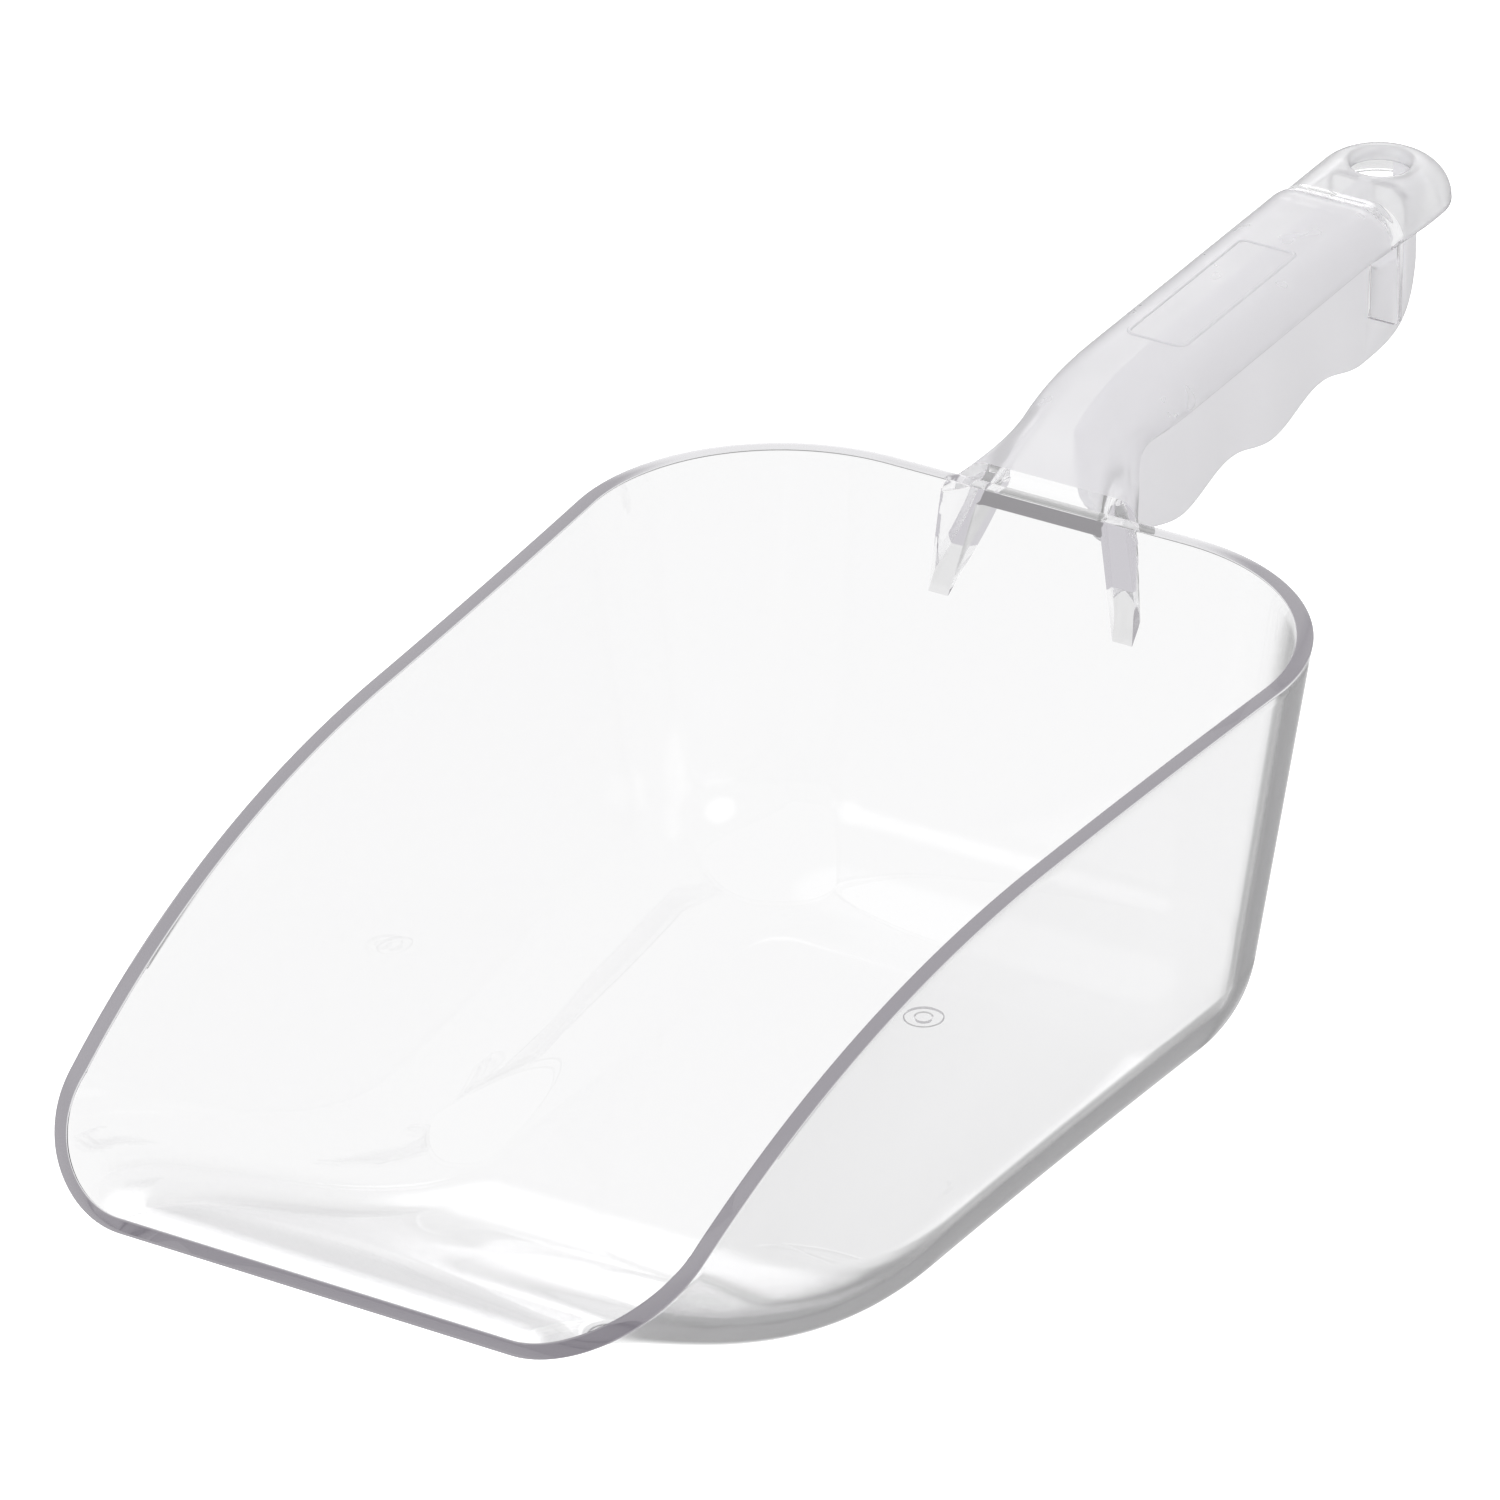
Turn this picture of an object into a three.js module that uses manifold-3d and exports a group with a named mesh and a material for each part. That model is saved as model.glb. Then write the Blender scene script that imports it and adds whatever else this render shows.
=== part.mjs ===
// Clear polycarbonate ice scoop, about two litres, moulded in one shot.
// Millimetres, +Z up. The origin is the centre of the flat base, on its underside.
// The mouth opens towards -Y, the handle runs back towards +Y, and X is the width.
// The moulding is divided at flat faces into its natural sections, which meet with no gap.
import * as THREE from "three";
import { mergeVertices } from "three/addons/utils/BufferGeometryUtils.js";
import Module from "manifold-3d";

const wasm = await Module();
wasm.setup();

const DEGREE = Math.PI / 180;

// Bowl
const WALL = 3; // thickness of the bowl's wall and floor
const BOWL_DEPTH = 84; // base plane to rim
const BOWL_LENGTH = 241.5; // outside of the rear rim to the lip
const RIM_HALF_WIDTH = 70; // outside, where the straight sides begin
const REAR_Y = 72; // outside of the rear rim
const REAR_CORNER = 40; // radius of the two rear corners, at the rim
const SIDE_TAPER = 3.7 * DEGREE; // each side starts out leaning in towards the lip
const SIDE_EASING = 0.00019; // per mm: the sides ease back to parallel on the way there
const DRAFT = 7.9 * DEGREE; // every wall leans out towards the rim
const EDGE_FILLET = 25; // outside radius between walls and floor
const RIM_LEVEL_LENGTH = 116; // the rim stays level this far forward
const LIP_HEIGHT = 47; // underside of the lip above the base plane
const FLAT_FLOOR_LENGTH = 129; // rear rim to the start of the floor's ramp
const GATE_Y = 26.5; // moulding gate in the base
const GATE_RADIUS = 3.7;
const GATE_PIP_RADIUS = 1.5;
const GATE_DEPTH = 0.6;

// Handle: distances along it are measured back from the rear rim, heights from the rim
const GRIP_HALF_WIDTH = 13.2;
const GRIP_TOP = 13.3; // top of the grip above the rim
const GRIP_PLATE = 3; // thickness of the top plate
const SKIRT = 2.6; // thickness of the two side skirts
const SHOULDER = 7; // outside radius between top and skirts
const SKIRT_BOTTOM = 6.5; // lower edge of the skirts above the rim
const GRIP_RISE_LENGTH = 37; // the top reaches its full height here
const ROOT_FLARE = 15; // the root widens over this length
const ROOT_WIDENING = 6.6; // on each side, at the rear wall
const ROOT_DEPTH = 4.2; // the root's level underside below the rim
const ARCH_START = 8; // the skirts' lower edge arches up from here
const ARCH_END = 18;
const STEP_START = 105; // shallow step down to the hang tab
const STEP_END = 110;
const STEP_HEIGHT = 1;
const TAB_START = 112; // flat joint between grip and hang tab
const TAB_CENTRE = 125.4; // centre of the tab's round end and of its hole
const TAB_SKIRT_BOTTOM = 4.7;
const SKIRT_DROP_START = 95;
const SKIRT_DROP_END = 120;
const HANG_HOLE_RADIUS = 5.4;
const HANG_HOLE_ROUNDING = 1.4;

// Finger rib under the handle
const RIB_THICKNESS = 2.5;
const RIB_DEPTH = 24.4; // mean lower edge below the rim
const FINGER_PITCH = 34.3;
const FINGER_DEPTH = 1.7; // half of the difference between hollow and crest
const LAST_CREST = 118.5;
const FIRST_HOLLOW = LAST_CREST - 2.5 * FINGER_PITCH;
const RIB_TAIL = 138.6;
const RIB_TAIL_CLEARANCE = 0.3; // to the inside of the tab's round end
const HOOK_SLOT_END = 132.5; // the rib is relieved under the hang hole
const HOOK_SLOT_DEPTH = 9;

// Cross web in front of the hang hole, and gussets down the rear wall
const WEB_Y = 119;
const WEB_THICKNESS = 2;
const WEB_HALF_WIDTH = 7.6;
const WEB_BOTTOM = -17;
const GUSSET_DEPTH = 22.5;
const GUSSET_LEAN = 2.4;
const GUSSET_NARROWING = 0.45;

// Raised blank label frame on the grip
const LABEL_START = 39.5;
const LABEL_END = 83;
const LABEL_HALF_WIDTH = 6.2;
const LABEL_CORNER = 2;
const LABEL_LINE = 0.8;
const LABEL_HEIGHT = 0.35;

const range = (count) => Array.from({ length: count }, (_, i) => i);
const mix = THREE.MathUtils.lerp;
const clamp = THREE.MathUtils.clamp;

// ---- Solids -------------------------------------------------------------------------------

// Drops the triangles that closed up to a line or a point when vertices were merged.
function weld(geometry) {
  geometry.deleteAttribute("normal");
  geometry.deleteAttribute("uv");
  const merged = mergeVertices(geometry, 1e-3);
  const index = [];
  for (let i = 0; i < merged.index.count; i += 3) {
    const corner = [0, 1, 2].map((k) => merged.index.getX(i + k));
    if (new Set(corner).size === 3) index.push(...corner);
  }
  merged.setIndex(index);
  return merged;
}

function toSolid(geometry) {
  const welded = weld(geometry);
  const vertProperties = new Float32Array(welded.attributes.position.array);
  const triVerts = new Uint32Array(welded.index.array);
  return new wasm.Manifold(new wasm.Mesh({ numProp: 3, vertProperties, triVerts }));
}

function toGeometry(solid) {
  const mesh = solid.getMesh();
  const geometry = new THREE.BufferGeometry();
  geometry.setAttribute("position", new THREE.BufferAttribute(mesh.vertProperties, 3));
  geometry.setIndex(new THREE.BufferAttribute(mesh.triVerts, 1));
  geometry.computeVertexNormals();
  return geometry;
}

// Triangles between neighbouring rows of points; a closed row joins its last point to its first.
function skin(rows, closed) {
  const triangles = [];
  const steps = closed ? rows[0].length : rows[0].length - 1;
  for (let i = 0; i + 1 < rows.length; i++) {
    for (let j = 0; j < steps; j++) {
      const k = (j + 1) % rows[0].length;
      triangles.push(rows[i][j], rows[i][k], rows[i + 1][j]);
      triangles.push(rows[i + 1][j], rows[i][k], rows[i + 1][k]);
    }
  }
  return triangles;
}

// Flat cap over a closed row; flat says which two coordinates show its outline.
function cap(row, flat, reversed) {
  const outline = row.map(flat);
  const faces = THREE.ShapeUtils.triangulateShape(outline, []);
  const turned = reversed !== THREE.ShapeUtils.isClockWise(outline);
  const ordered = turned ? faces.map(([a, b, c]) => [a, c, b]) : faces;
  return ordered.flat().map((corner) => row[corner]);
}

const fromTriangles = (points) => new THREE.BufferGeometry().setFromPoints(points);

// Keeps one of each run of equal points, so that a row can be capped.
const withoutRepeats = (row) => row.filter((p, i) => p.distanceTo(row.at(i - 1)) > 1e-3);

const extrude = (shape, depth, curveSegments = 12) =>
  new THREE.ExtrudeGeometry(shape, { depth, curveSegments, bevelEnabled: false });

// An outline in the YZ plane, made solid between two X positions.
function alongX(shape, from, to) {
  const geometry = extrude(shape, to - from);
  geometry.rotateX(Math.PI / 2);
  geometry.rotateZ(Math.PI / 2);
  geometry.translate(from, 0, 0);
  return geometry;
}

// ---- Bowl ---------------------------------------------------------------------------------

const LIP_Y = REAR_Y - BOWL_LENGTH;

const rimCurve = new THREE.CubicBezierCurve(
  new THREE.Vector2(REAR_Y - RIM_LEVEL_LENGTH, BOWL_DEPTH),
  new THREE.Vector2(REAR_Y - RIM_LEVEL_LENGTH - 67, BOWL_DEPTH),
  new THREE.Vector2(LIP_Y + 20, LIP_HEIGHT + 14.6),
  new THREE.Vector2(LIP_Y, LIP_HEIGHT),
);

const rampCurve = new THREE.CubicBezierCurve(
  new THREE.Vector2(REAR_Y - FLAT_FLOOR_LENGTH, 0),
  new THREE.Vector2(REAR_Y - FLAT_FLOOR_LENGTH - 41, 0),
  new THREE.Vector2(LIP_Y + 23.5, LIP_HEIGHT - 2.7),
  new THREE.Vector2(LIP_Y, LIP_HEIGHT),
);

// The parameter of a curve's point at a given y, for a curve that runs steadily one way in y.
function parameterAt(curve, y) {
  const forward = curve.v3.x > curve.v0.x;
  let low = 0;
  let high = 1;
  for (let i = 0; i < 40; i++) {
    const middle = (low + high) / 2;
    if (curve.getPoint(middle).x < y === forward) low = middle;
    else high = middle;
  }
  return (low + high) / 2;
}

const heightOn = (curve, y) => curve.getPoint(parameterAt(curve, y)).y;
const rimHeight = (y) => (y > rimCurve.v0.x ? BOWL_DEPTH : heightOn(rimCurve, y));
const floorHeight = (y) => (y > rampCurve.v0.x ? 0 : heightOn(rampCurve, y));

// The floor's thickness measured straight up, so that it's WALL thick square to the ramp.
function floorThickness(y) {
  if (y > rampCurve.v0.x) return WALL;
  const tangent = rampCurve.getTangent(parameterAt(rampCurve, y));
  return WALL / Math.abs(tangent.x);
}

// Stations round the rim's outline seen from above, from the middle of the rear wall to the lip.
function rightStations() {
  const centre = new THREE.Vector2(RIM_HALF_WIDTH - REAR_CORNER, REAR_Y - REAR_CORNER);
  const rear = [0, 0.5].map((part) => ({
    point: new THREE.Vector2(part * centre.x, REAR_Y),
    outward: new THREE.Vector2(0, 1),
  }));
  const cornerSteps = 10;
  const corner = range(cornerSteps).map((i) => {
    const angle = mix(Math.PI / 2, -SIDE_TAPER, i / cornerSteps);
    const outward = new THREE.Vector2(Math.cos(angle), Math.sin(angle));
    return { point: outward.clone().multiplyScalar(REAR_CORNER).add(centre), outward };
  });
  const sideStart = new THREE.Vector2(Math.cos(SIDE_TAPER), -Math.sin(SIDE_TAPER));
  sideStart.multiplyScalar(REAR_CORNER).add(centre);
  const sideSteps = 34;
  const side = range(sideSteps + 1).map((i) => {
    const left = (1 - i / sideSteps) ** 1.7; // closer together towards the lip
    const y = mix(LIP_Y, sideStart.y, left);
    const run = sideStart.y - y;
    const x = sideStart.x - run * Math.tan(SIDE_TAPER) + SIDE_EASING * run ** 2;
    const slope = 2 * SIDE_EASING * run - Math.tan(SIDE_TAPER);
    return { point: new THREE.Vector2(x, y), outward: new THREE.Vector2(1, slope).normalize() };
  });
  const fan = sideStart.y; // the rear of the floor fans out from the centreline here
  return [...rear, ...corner, ...side].map((s) => ({ ...s, spineY: Math.min(s.point.y, fan) }));
}

// One section through wall, fillet and floor: underside from the centreline out to the rim,
// over the rim's edge, and back along the inside to the centreline.
function bowlSection({ point, outward, spineY }) {
  const filletSteps = 7;
  const rim = rimHeight(point.y);
  const floor = floorHeight(point.y);
  const thickness = floorThickness(point.y);
  const centreHeight = floor + EDGE_FILLET;
  const centreOffset = (centreHeight - BOWL_DEPTH) * Math.tan(DRAFT) - EDGE_FILLET / Math.cos(DRAFT);
  const at = (offset, height) => {
    const flat = outward.clone().multiplyScalar(offset).add(point);
    return new THREE.Vector3(flat.x, flat.y, height);
  };
  const wallOffset = (height) => (height - BOWL_DEPTH) * Math.tan(DRAFT);
  // the rim may cut the fillet itself, near the lip
  const cut = clamp((centreHeight - rim) / EDGE_FILLET, Math.sin(DRAFT), 1);
  const start = Math.asin(cut);
  const onWall = rim > centreHeight - EDGE_FILLET * Math.sin(DRAFT);
  const outerArc = range(filletSteps + 1).map((i) => {
    const angle = mix(Math.PI / 2, start, i / filletSteps);
    const height = centreHeight - EDGE_FILLET * Math.sin(angle);
    return at(centreOffset + EDGE_FILLET * Math.cos(angle), height);
  });
  const innerRadius = EDGE_FILLET - WALL;
  const innerLevel = Math.asin((EDGE_FILLET * Math.sin(DRAFT)) / innerRadius);
  const turned = (start - DRAFT) / (Math.PI / 2 - DRAFT);
  const innerStart = onWall ? DRAFT : mix(innerLevel, Math.PI / 2, turned);
  const innerArc = range(filletSteps + 1).map((i) => {
    const angle = mix(innerStart, Math.PI / 2, i / filletSteps);
    const height = centreHeight - (EDGE_FILLET - thickness) * Math.sin(angle);
    return at(centreOffset + innerRadius * Math.cos(angle), height);
  });
  const outerRim = onWall ? at(wallOffset(rim), rim) : outerArc.at(-1);
  const innerRim = onWall ? at(wallOffset(rim) - WALL / Math.cos(DRAFT), rim) : innerArc[0];
  const spine = (height) => new THREE.Vector3(0, spineY, height);
  return [spine(floor), ...outerArc, outerRim, innerRim, ...innerArc, spine(floor + thickness)];
}

const mirrored = (row) => row.map((p) => new THREE.Vector3(-p.x, p.y, p.z));

// The lip's edge face, between the underside and the inside of the last section.
function lipFace(row) {
  const under = row.slice(0, row.length / 2);
  const over = row.slice(row.length / 2).reverse();
  return skin([under, over], false);
}

// Ring cut in the base round the gate's pip, so that nothing stands below the base plane.
function gateRecess() {
  const profile = [
    new THREE.Vector2(GATE_PIP_RADIUS, -1),
    new THREE.Vector2(GATE_RADIUS, -1),
    new THREE.Vector2(GATE_RADIUS, GATE_DEPTH),
    new THREE.Vector2(GATE_PIP_RADIUS, GATE_DEPTH),
    new THREE.Vector2(GATE_PIP_RADIUS, -1),
  ];
  const ring = new THREE.LatheGeometry(profile, 24);
  ring.rotateX(Math.PI / 2);
  ring.translate(0, GATE_Y, 0);
  return ring;
}

function bowl() {
  const right = rightStations().map(bowlSection);
  const left = right.slice(1).reverse().map(mirrored);
  const walls = skin([...left, ...right], false);
  const rightLip = lipFace(right.at(-1));
  const leftLip = lipFace(left[0]).reverse();
  const shell = outwards(fromTriangles([...walls, ...rightLip, ...leftLip]));
  return toGeometry(shell.subtract(outwards(gateRecess())));
}

// ---- Handle -------------------------------------------------------------------------------

const topCurve = new THREE.CubicBezierCurve(
  new THREE.Vector2(0, 0),
  new THREE.Vector2(10, 8.8),
  new THREE.Vector2(18, GRIP_TOP),
  new THREE.Vector2(GRIP_RISE_LENGTH, GRIP_TOP),
);

function topHeight(back) {
  if (back <= 0) return 0;
  if (back < GRIP_RISE_LENGTH) return heightOn(topCurve, back);
  return GRIP_TOP - STEP_HEIGHT * THREE.MathUtils.smoothstep(back, STEP_START, STEP_END);
}

function skirtBottom(back) {
  if (back <= ARCH_START) return -ROOT_DEPTH;
  if (back < ARCH_END) {
    const run = (ARCH_END - back) / (ARCH_END - ARCH_START);
    return -ROOT_DEPTH + (SKIRT_BOTTOM + ROOT_DEPTH) * Math.sqrt(1 - run * run);
  }
  const drop = clamp((back - SKIRT_DROP_START) / (SKIRT_DROP_END - SKIRT_DROP_START), 0, 1);
  return mix(SKIRT_BOTTOM, TAB_SKIRT_BOTTOM, drop);
}

// How far the root has widened, from 0 on the grip to 1 at the rear wall.
function rootFlare(back) {
  return clamp((ROOT_FLARE - back) / ROOT_FLARE, 0, 1) ** 2;
}

const outerHalfWidth = (back) => GRIP_HALF_WIDTH + ROOT_WIDENING * rootFlare(back);
const innerHalfWidth = (back) => GRIP_HALF_WIDTH - SKIRT + 2 * rootFlare(back);
const plateUnderside = (back) => topHeight(back) - GRIP_PLATE;

// Right half of one face of the channel, from the skirt's lower edge up to the flat of the top.
function channelHalf(halfWidth, top, bottom, radius, steps) {
  const centre = top - radius;
  const start = Math.asin(clamp((bottom - centre) / radius, 0, 1));
  const arc = range(steps + 1).map((i) => {
    const angle = mix(start, Math.PI / 2, i / steps);
    return [halfWidth - radius + radius * Math.cos(angle), centre + radius * Math.sin(angle)];
  });
  return [[arc[0][0], bottom], ...arc];
}

// Section of the inverted channel as [x, height] pairs, round the outside and back inside.
function channelSection(back) {
  const bottom = skirtBottom(back);
  const radius = SHOULDER - (SHOULDER - ROOT_DEPTH) * rootFlare(back);
  const outer = channelHalf(outerHalfWidth(back), topHeight(back), bottom, radius, 6);
  const innerRadius = Math.max(radius - SKIRT, 0.6);
  const inner = channelHalf(innerHalfWidth(back), plateUnderside(back), bottom, innerRadius, 5);
  const flip = (half) => half.map(([x, z]) => [-x, z]);
  return [...outer, ...flip(outer).reverse(), ...flip(inner), ...inner.reverse()];
}

const rearWallY = (height) => REAR_Y + height * Math.tan(DRAFT);
const gripPoint = ([x, height], back) => new THREE.Vector3(x, REAR_Y + back, BOWL_DEPTH + height);
const onRearWall = ([x, height]) => new THREE.Vector3(x, rearWallY(height), BOWL_DEPTH + height);

// Where the grip's sections are taken, from the rear wall back.
const ROOT_STATIONS = range(7).map((i) => (ARCH_START * i) / 6);
const archStation = (part) => mix(ARCH_END, ARCH_START, Math.cos((part * Math.PI) / 2));
const GRIP_STATIONS = [
  ...ROOT_STATIONS.slice(1),
  ...range(8).map((i) => archStation((i + 1) / 8)),
  ...range(8).map((i) => mix(ARCH_END, GRIP_RISE_LENGTH, (i + 1) / 8)),
  SKIRT_DROP_START,
  ...range(6).map((i) => mix(STEP_START, STEP_END, i / 5)),
  TAB_START,
];

const acrossXZ = (p) => new THREE.Vector2(p.x, p.z);

function loftedBody(rows) {
  const first = withoutRepeats(rows[0]);
  const last = withoutRepeats(rows.at(-1));
  const ends = [...cap(first, acrossXZ, true), ...cap(last, acrossXZ, false)];
  return fromTriangles([...skin(rows, true), ...ends]);
}

function roundedRectangle(start, end, halfWidth, corner) {
  const shape = new THREE.Shape();
  shape.moveTo(-halfWidth + corner, start);
  shape.lineTo(halfWidth - corner, start);
  shape.absarc(halfWidth - corner, start + corner, corner, -Math.PI / 2, 0);
  shape.absarc(halfWidth - corner, end - corner, corner, 0, Math.PI / 2);
  shape.absarc(-halfWidth + corner, end - corner, corner, Math.PI / 2, Math.PI);
  shape.absarc(-halfWidth + corner, start + corner, corner, Math.PI, 1.5 * Math.PI);
  return shape;
}

function labelFrame() {
  const inset = (by) =>
    roundedRectangle(LABEL_START + by, LABEL_END - by, LABEL_HALF_WIDTH - by, LABEL_CORNER - by);
  const shape = inset(0);
  shape.holes.push(inset(LABEL_LINE));
  const sunk = 1;
  const frame = extrude(shape, LABEL_HEIGHT + sunk, 4);
  frame.translate(0, REAR_Y, BOWL_DEPTH + GRIP_TOP - sunk);
  return frame;
}

function handleShell() {
  const root = channelSection(0).map(onRearWall);
  const rows = GRIP_STATIONS.map((back) => channelSection(back).map((p) => gripPoint(p, back)));
  const shell = outwards(loftedBody([root, ...rows]));
  return toGeometry(shell.add(outwards(labelFrame())));
}

// The tab runs on from the grip, and its section is then turned half round for the round end.
function tabSolid() {
  const straight = [TAB_START, SKIRT_DROP_END, TAB_CENTRE];
  const rows = straight.map((back) => channelSection(back).map((p) => gripPoint(p, back)));
  const turnSteps = 12;
  for (const i of range(turnSteps)) {
    const turn = ((i + 1) / turnSteps) * (Math.PI / 2);
    const across = i + 1 === turnSteps ? 0 : Math.cos(turn);
    rows.push(
      channelSection(TAB_CENTRE).map(([x, height]) =>
        gripPoint([x * across, height], TAB_CENTRE + Math.abs(x) * Math.sin(turn)),
      ),
    );
  }
  const first = withoutRepeats(rows[0]);
  return fromTriangles([...skin(rows, true), ...cap(first, acrossXZ, true)]);
}

// The hang hole, rounded over at the top and bottom of the plate.
function hangHole() {
  const top = topHeight(TAB_CENTRE);
  const bottom = plateUnderside(TAB_CENTRE);
  const wide = HANG_HOLE_RADIUS + HANG_HOLE_ROUNDING;
  const roundOver = (height, side) =>
    range(5).map((i) => {
      const angle = (i / 4) * (Math.PI / 2);
      const drop = HANG_HOLE_ROUNDING * (1 - Math.cos(angle));
      const radius = wide - HANG_HOLE_ROUNDING * Math.sin(angle);
      return new THREE.Vector2(radius, height - side * drop);
    });
  const profile = [
    new THREE.Vector2(0, bottom - 1),
    new THREE.Vector2(wide, bottom - 1),
    ...roundOver(bottom, -1),
    ...roundOver(top, 1).reverse(),
    new THREE.Vector2(wide, top + 1),
    new THREE.Vector2(0, top + 1),
  ];
  const cutter = new THREE.LatheGeometry(profile, 32);
  cutter.rotateX(Math.PI / 2);
  cutter.translate(0, REAR_Y + TAB_CENTRE, BOWL_DEPTH);
  return cutter;
}

function hangTab() {
  return toGeometry(outwards(tabSolid()).subtract(outwards(hangHole())));
}

// ---- Ribs, webs and gussets ---------------------------------------------------------------

const fingerWave = (back) =>
  -RIB_DEPTH - FINGER_DEPTH * Math.cos((2 * Math.PI * (back - LAST_CREST)) / FINGER_PITCH);

// Side outline of the rib: its top follows the underside of the plate, its lower edge is waved.
function fingerRib() {
  const shape = new THREE.Shape();
  const start = GRIP_STATIONS.find((back) => back >= 13);
  const under = GRIP_STATIONS.filter((back) => back > start);
  shape.moveTo(start, plateUnderside(start));
  under.forEach((back) => shape.lineTo(back, plateUnderside(back)));
  const tabUnderside = plateUnderside(TAB_CENTRE);
  const slotStart = WEB_Y + WEB_THICKNESS;
  const slotRadius = (HOOK_SLOT_END - slotStart) / 2;
  const slotCentre = -HOOK_SLOT_DEPTH + slotRadius;
  shape.lineTo(slotStart, tabUnderside);
  shape.lineTo(slotStart, slotCentre);
  shape.absarc(slotStart + slotRadius, slotCentre, slotRadius, Math.PI, 2 * Math.PI, false);
  const innerShoulder = SHOULDER - SKIRT;
  const shoulderStart = TAB_CENTRE + GRIP_HALF_WIDTH - SHOULDER;
  const reach = innerShoulder - RIB_TAIL_CLEARANCE;
  const first = Math.acos((HOOK_SLOT_END - shoulderStart) / reach);
  shape.absarc(shoulderStart, tabUnderside - innerShoulder, reach, first, 0, true);
  shape.lineTo(shoulderStart + reach, TAB_SKIRT_BOTTOM);
  shape.lineTo(RIB_TAIL, TAB_SKIRT_BOTTOM);
  shape.lineTo(RIB_TAIL, -13);
  const lastCrest = fingerWave(LAST_CREST);
  shape.bezierCurveTo(RIB_TAIL - 1.5, -26, RIB_TAIL - 8, lastCrest, LAST_CREST, lastCrest);
  const waveSteps = 50;
  for (const i of range(waveSteps)) {
    const back = mix(LAST_CREST, FIRST_HOLLOW, (i + 1) / waveSteps);
    shape.lineTo(back, fingerWave(back));
  }
  const firstHollow = fingerWave(FIRST_HOLLOW);
  shape.bezierCurveTo(FIRST_HOLLOW - 9, firstHollow, start + 1, -14, start, plateUnderside(start));
  const rib = alongX(shape, -RIB_THICKNESS / 2, RIB_THICKNESS / 2);
  rib.translate(0, REAR_Y, BOWL_DEPTH);
  return toGeometry(outwards(rib));
}

// One half of the plate that crosses the rib in front of the hang hole.
function crossWeb(side) {
  const top = plateUnderside(TAB_CENTRE);
  const inner = RIB_THICKNESS / 2;
  const shape = new THREE.Shape();
  shape.moveTo(inner, WEB_BOTTOM);
  shape.lineTo(WEB_HALF_WIDTH - 1, WEB_BOTTOM);
  shape.absarc(WEB_HALF_WIDTH - 1, WEB_BOTTOM + 1, 1, -Math.PI / 2, 0);
  shape.lineTo(WEB_HALF_WIDTH, top - 1.2);
  shape.lineTo(WEB_HALF_WIDTH - 1.6, top);
  shape.lineTo(inner, top);
  const web = extrude(shape, WEB_THICKNESS, 4);
  web.rotateX(Math.PI / 2);
  web.translate(0, REAR_Y + WEB_Y + WEB_THICKNESS, BOWL_DEPTH);
  if (side < 0) web.scale(-1, 1, 1);
  return toGeometry(outwards(web));
}

// Seen from above, a gusset fills the flare between the skirt and the rear wall.
function gussetPlan() {
  const behindWall = -2 * GUSSET_DEPTH * Math.tan(DRAFT);
  const shape = new THREE.Shape();
  shape.moveTo(innerHalfWidth(0), behindWall);
  shape.lineTo(outerHalfWidth(0), behindWall);
  ROOT_STATIONS.forEach((back) => shape.lineTo(outerHalfWidth(back), back));
  ROOT_STATIONS.toReversed().forEach((back) => shape.lineTo(innerHalfWidth(back), back));
  return shape;
}

// Seen from the side, it's a concave wedge lying on the sloping rear wall.
function gussetProfile() {
  const shape = new THREE.Shape();
  shape.moveTo(ARCH_START, -ROOT_DEPTH);
  const tip = rearWallY(-GUSSET_DEPTH) - REAR_Y;
  shape.quadraticCurveTo(ARCH_START - 3, -0.55 * GUSSET_DEPTH, tip, -GUSSET_DEPTH);
  shape.lineTo(rearWallY(-ROOT_DEPTH) - REAR_Y, -ROOT_DEPTH);
  return shape;
}

// The plan made solid downwards; it leans outwards and narrows on its way down.
function gussetColumn() {
  const depth = GUSSET_DEPTH - ROOT_DEPTH + 1;
  const column = new THREE.ExtrudeGeometry(gussetPlan(), { depth, steps: 5, bevelEnabled: false });
  column.translate(0, 0, -depth - ROOT_DEPTH);
  const middle = (innerHalfWidth(0) + outerHalfWidth(0)) / 2;
  const position = column.attributes.position;
  for (const i of range(position.count)) {
    const down = (-ROOT_DEPTH - position.getZ(i)) / (GUSSET_DEPTH - ROOT_DEPTH);
    const narrowed = (position.getX(i) - middle) * (1 - GUSSET_NARROWING * down);
    position.setX(i, middle + narrowed + GUSSET_LEAN * down);
  }
  return column;
}

function gusset(side) {
  const profile = alongX(gussetProfile(), 0, 2 * RIM_HALF_WIDTH);
  const wedge = toGeometry(outwards(gussetColumn()).intersect(outwards(profile)));
  wedge.translate(0, REAR_Y, BOWL_DEPTH);
  if (side < 0) wedge.scale(-1, 1, 1);
  return toGeometry(outwards(wedge));
}

// ---- Assembly -----------------------------------------------------------------------------

// A solid with its faces turned outwards, whichever way the geometry was wound.
function outwards(geometry) {
  const solid = toSolid(geometry);
  if (solid.volume() > 0) return solid;
  const count = geometry.attributes.position.count;
  const index = geometry.index ? Array.from(geometry.index.array) : range(count);
  geometry.setIndex(index.reverse());
  return toSolid(geometry);
}

const clearPlastic = () =>
  new THREE.MeshStandardMaterial({
    color: 0xe6e9ee,
    roughness: 0.06,
    metalness: 0,
    transparent: true,
    opacity: 0.3,
  });

const satinPlastic = () =>
  new THREE.MeshStandardMaterial({
    color: 0xdcdfe4,
    roughness: 0.35,
    metalness: 0,
    transparent: true,
    opacity: 0.55,
  });

function section(name, geometry, material) {
  const mesh = new THREE.Mesh(geometry, material);
  mesh.name = name;
  return mesh;
}

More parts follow.
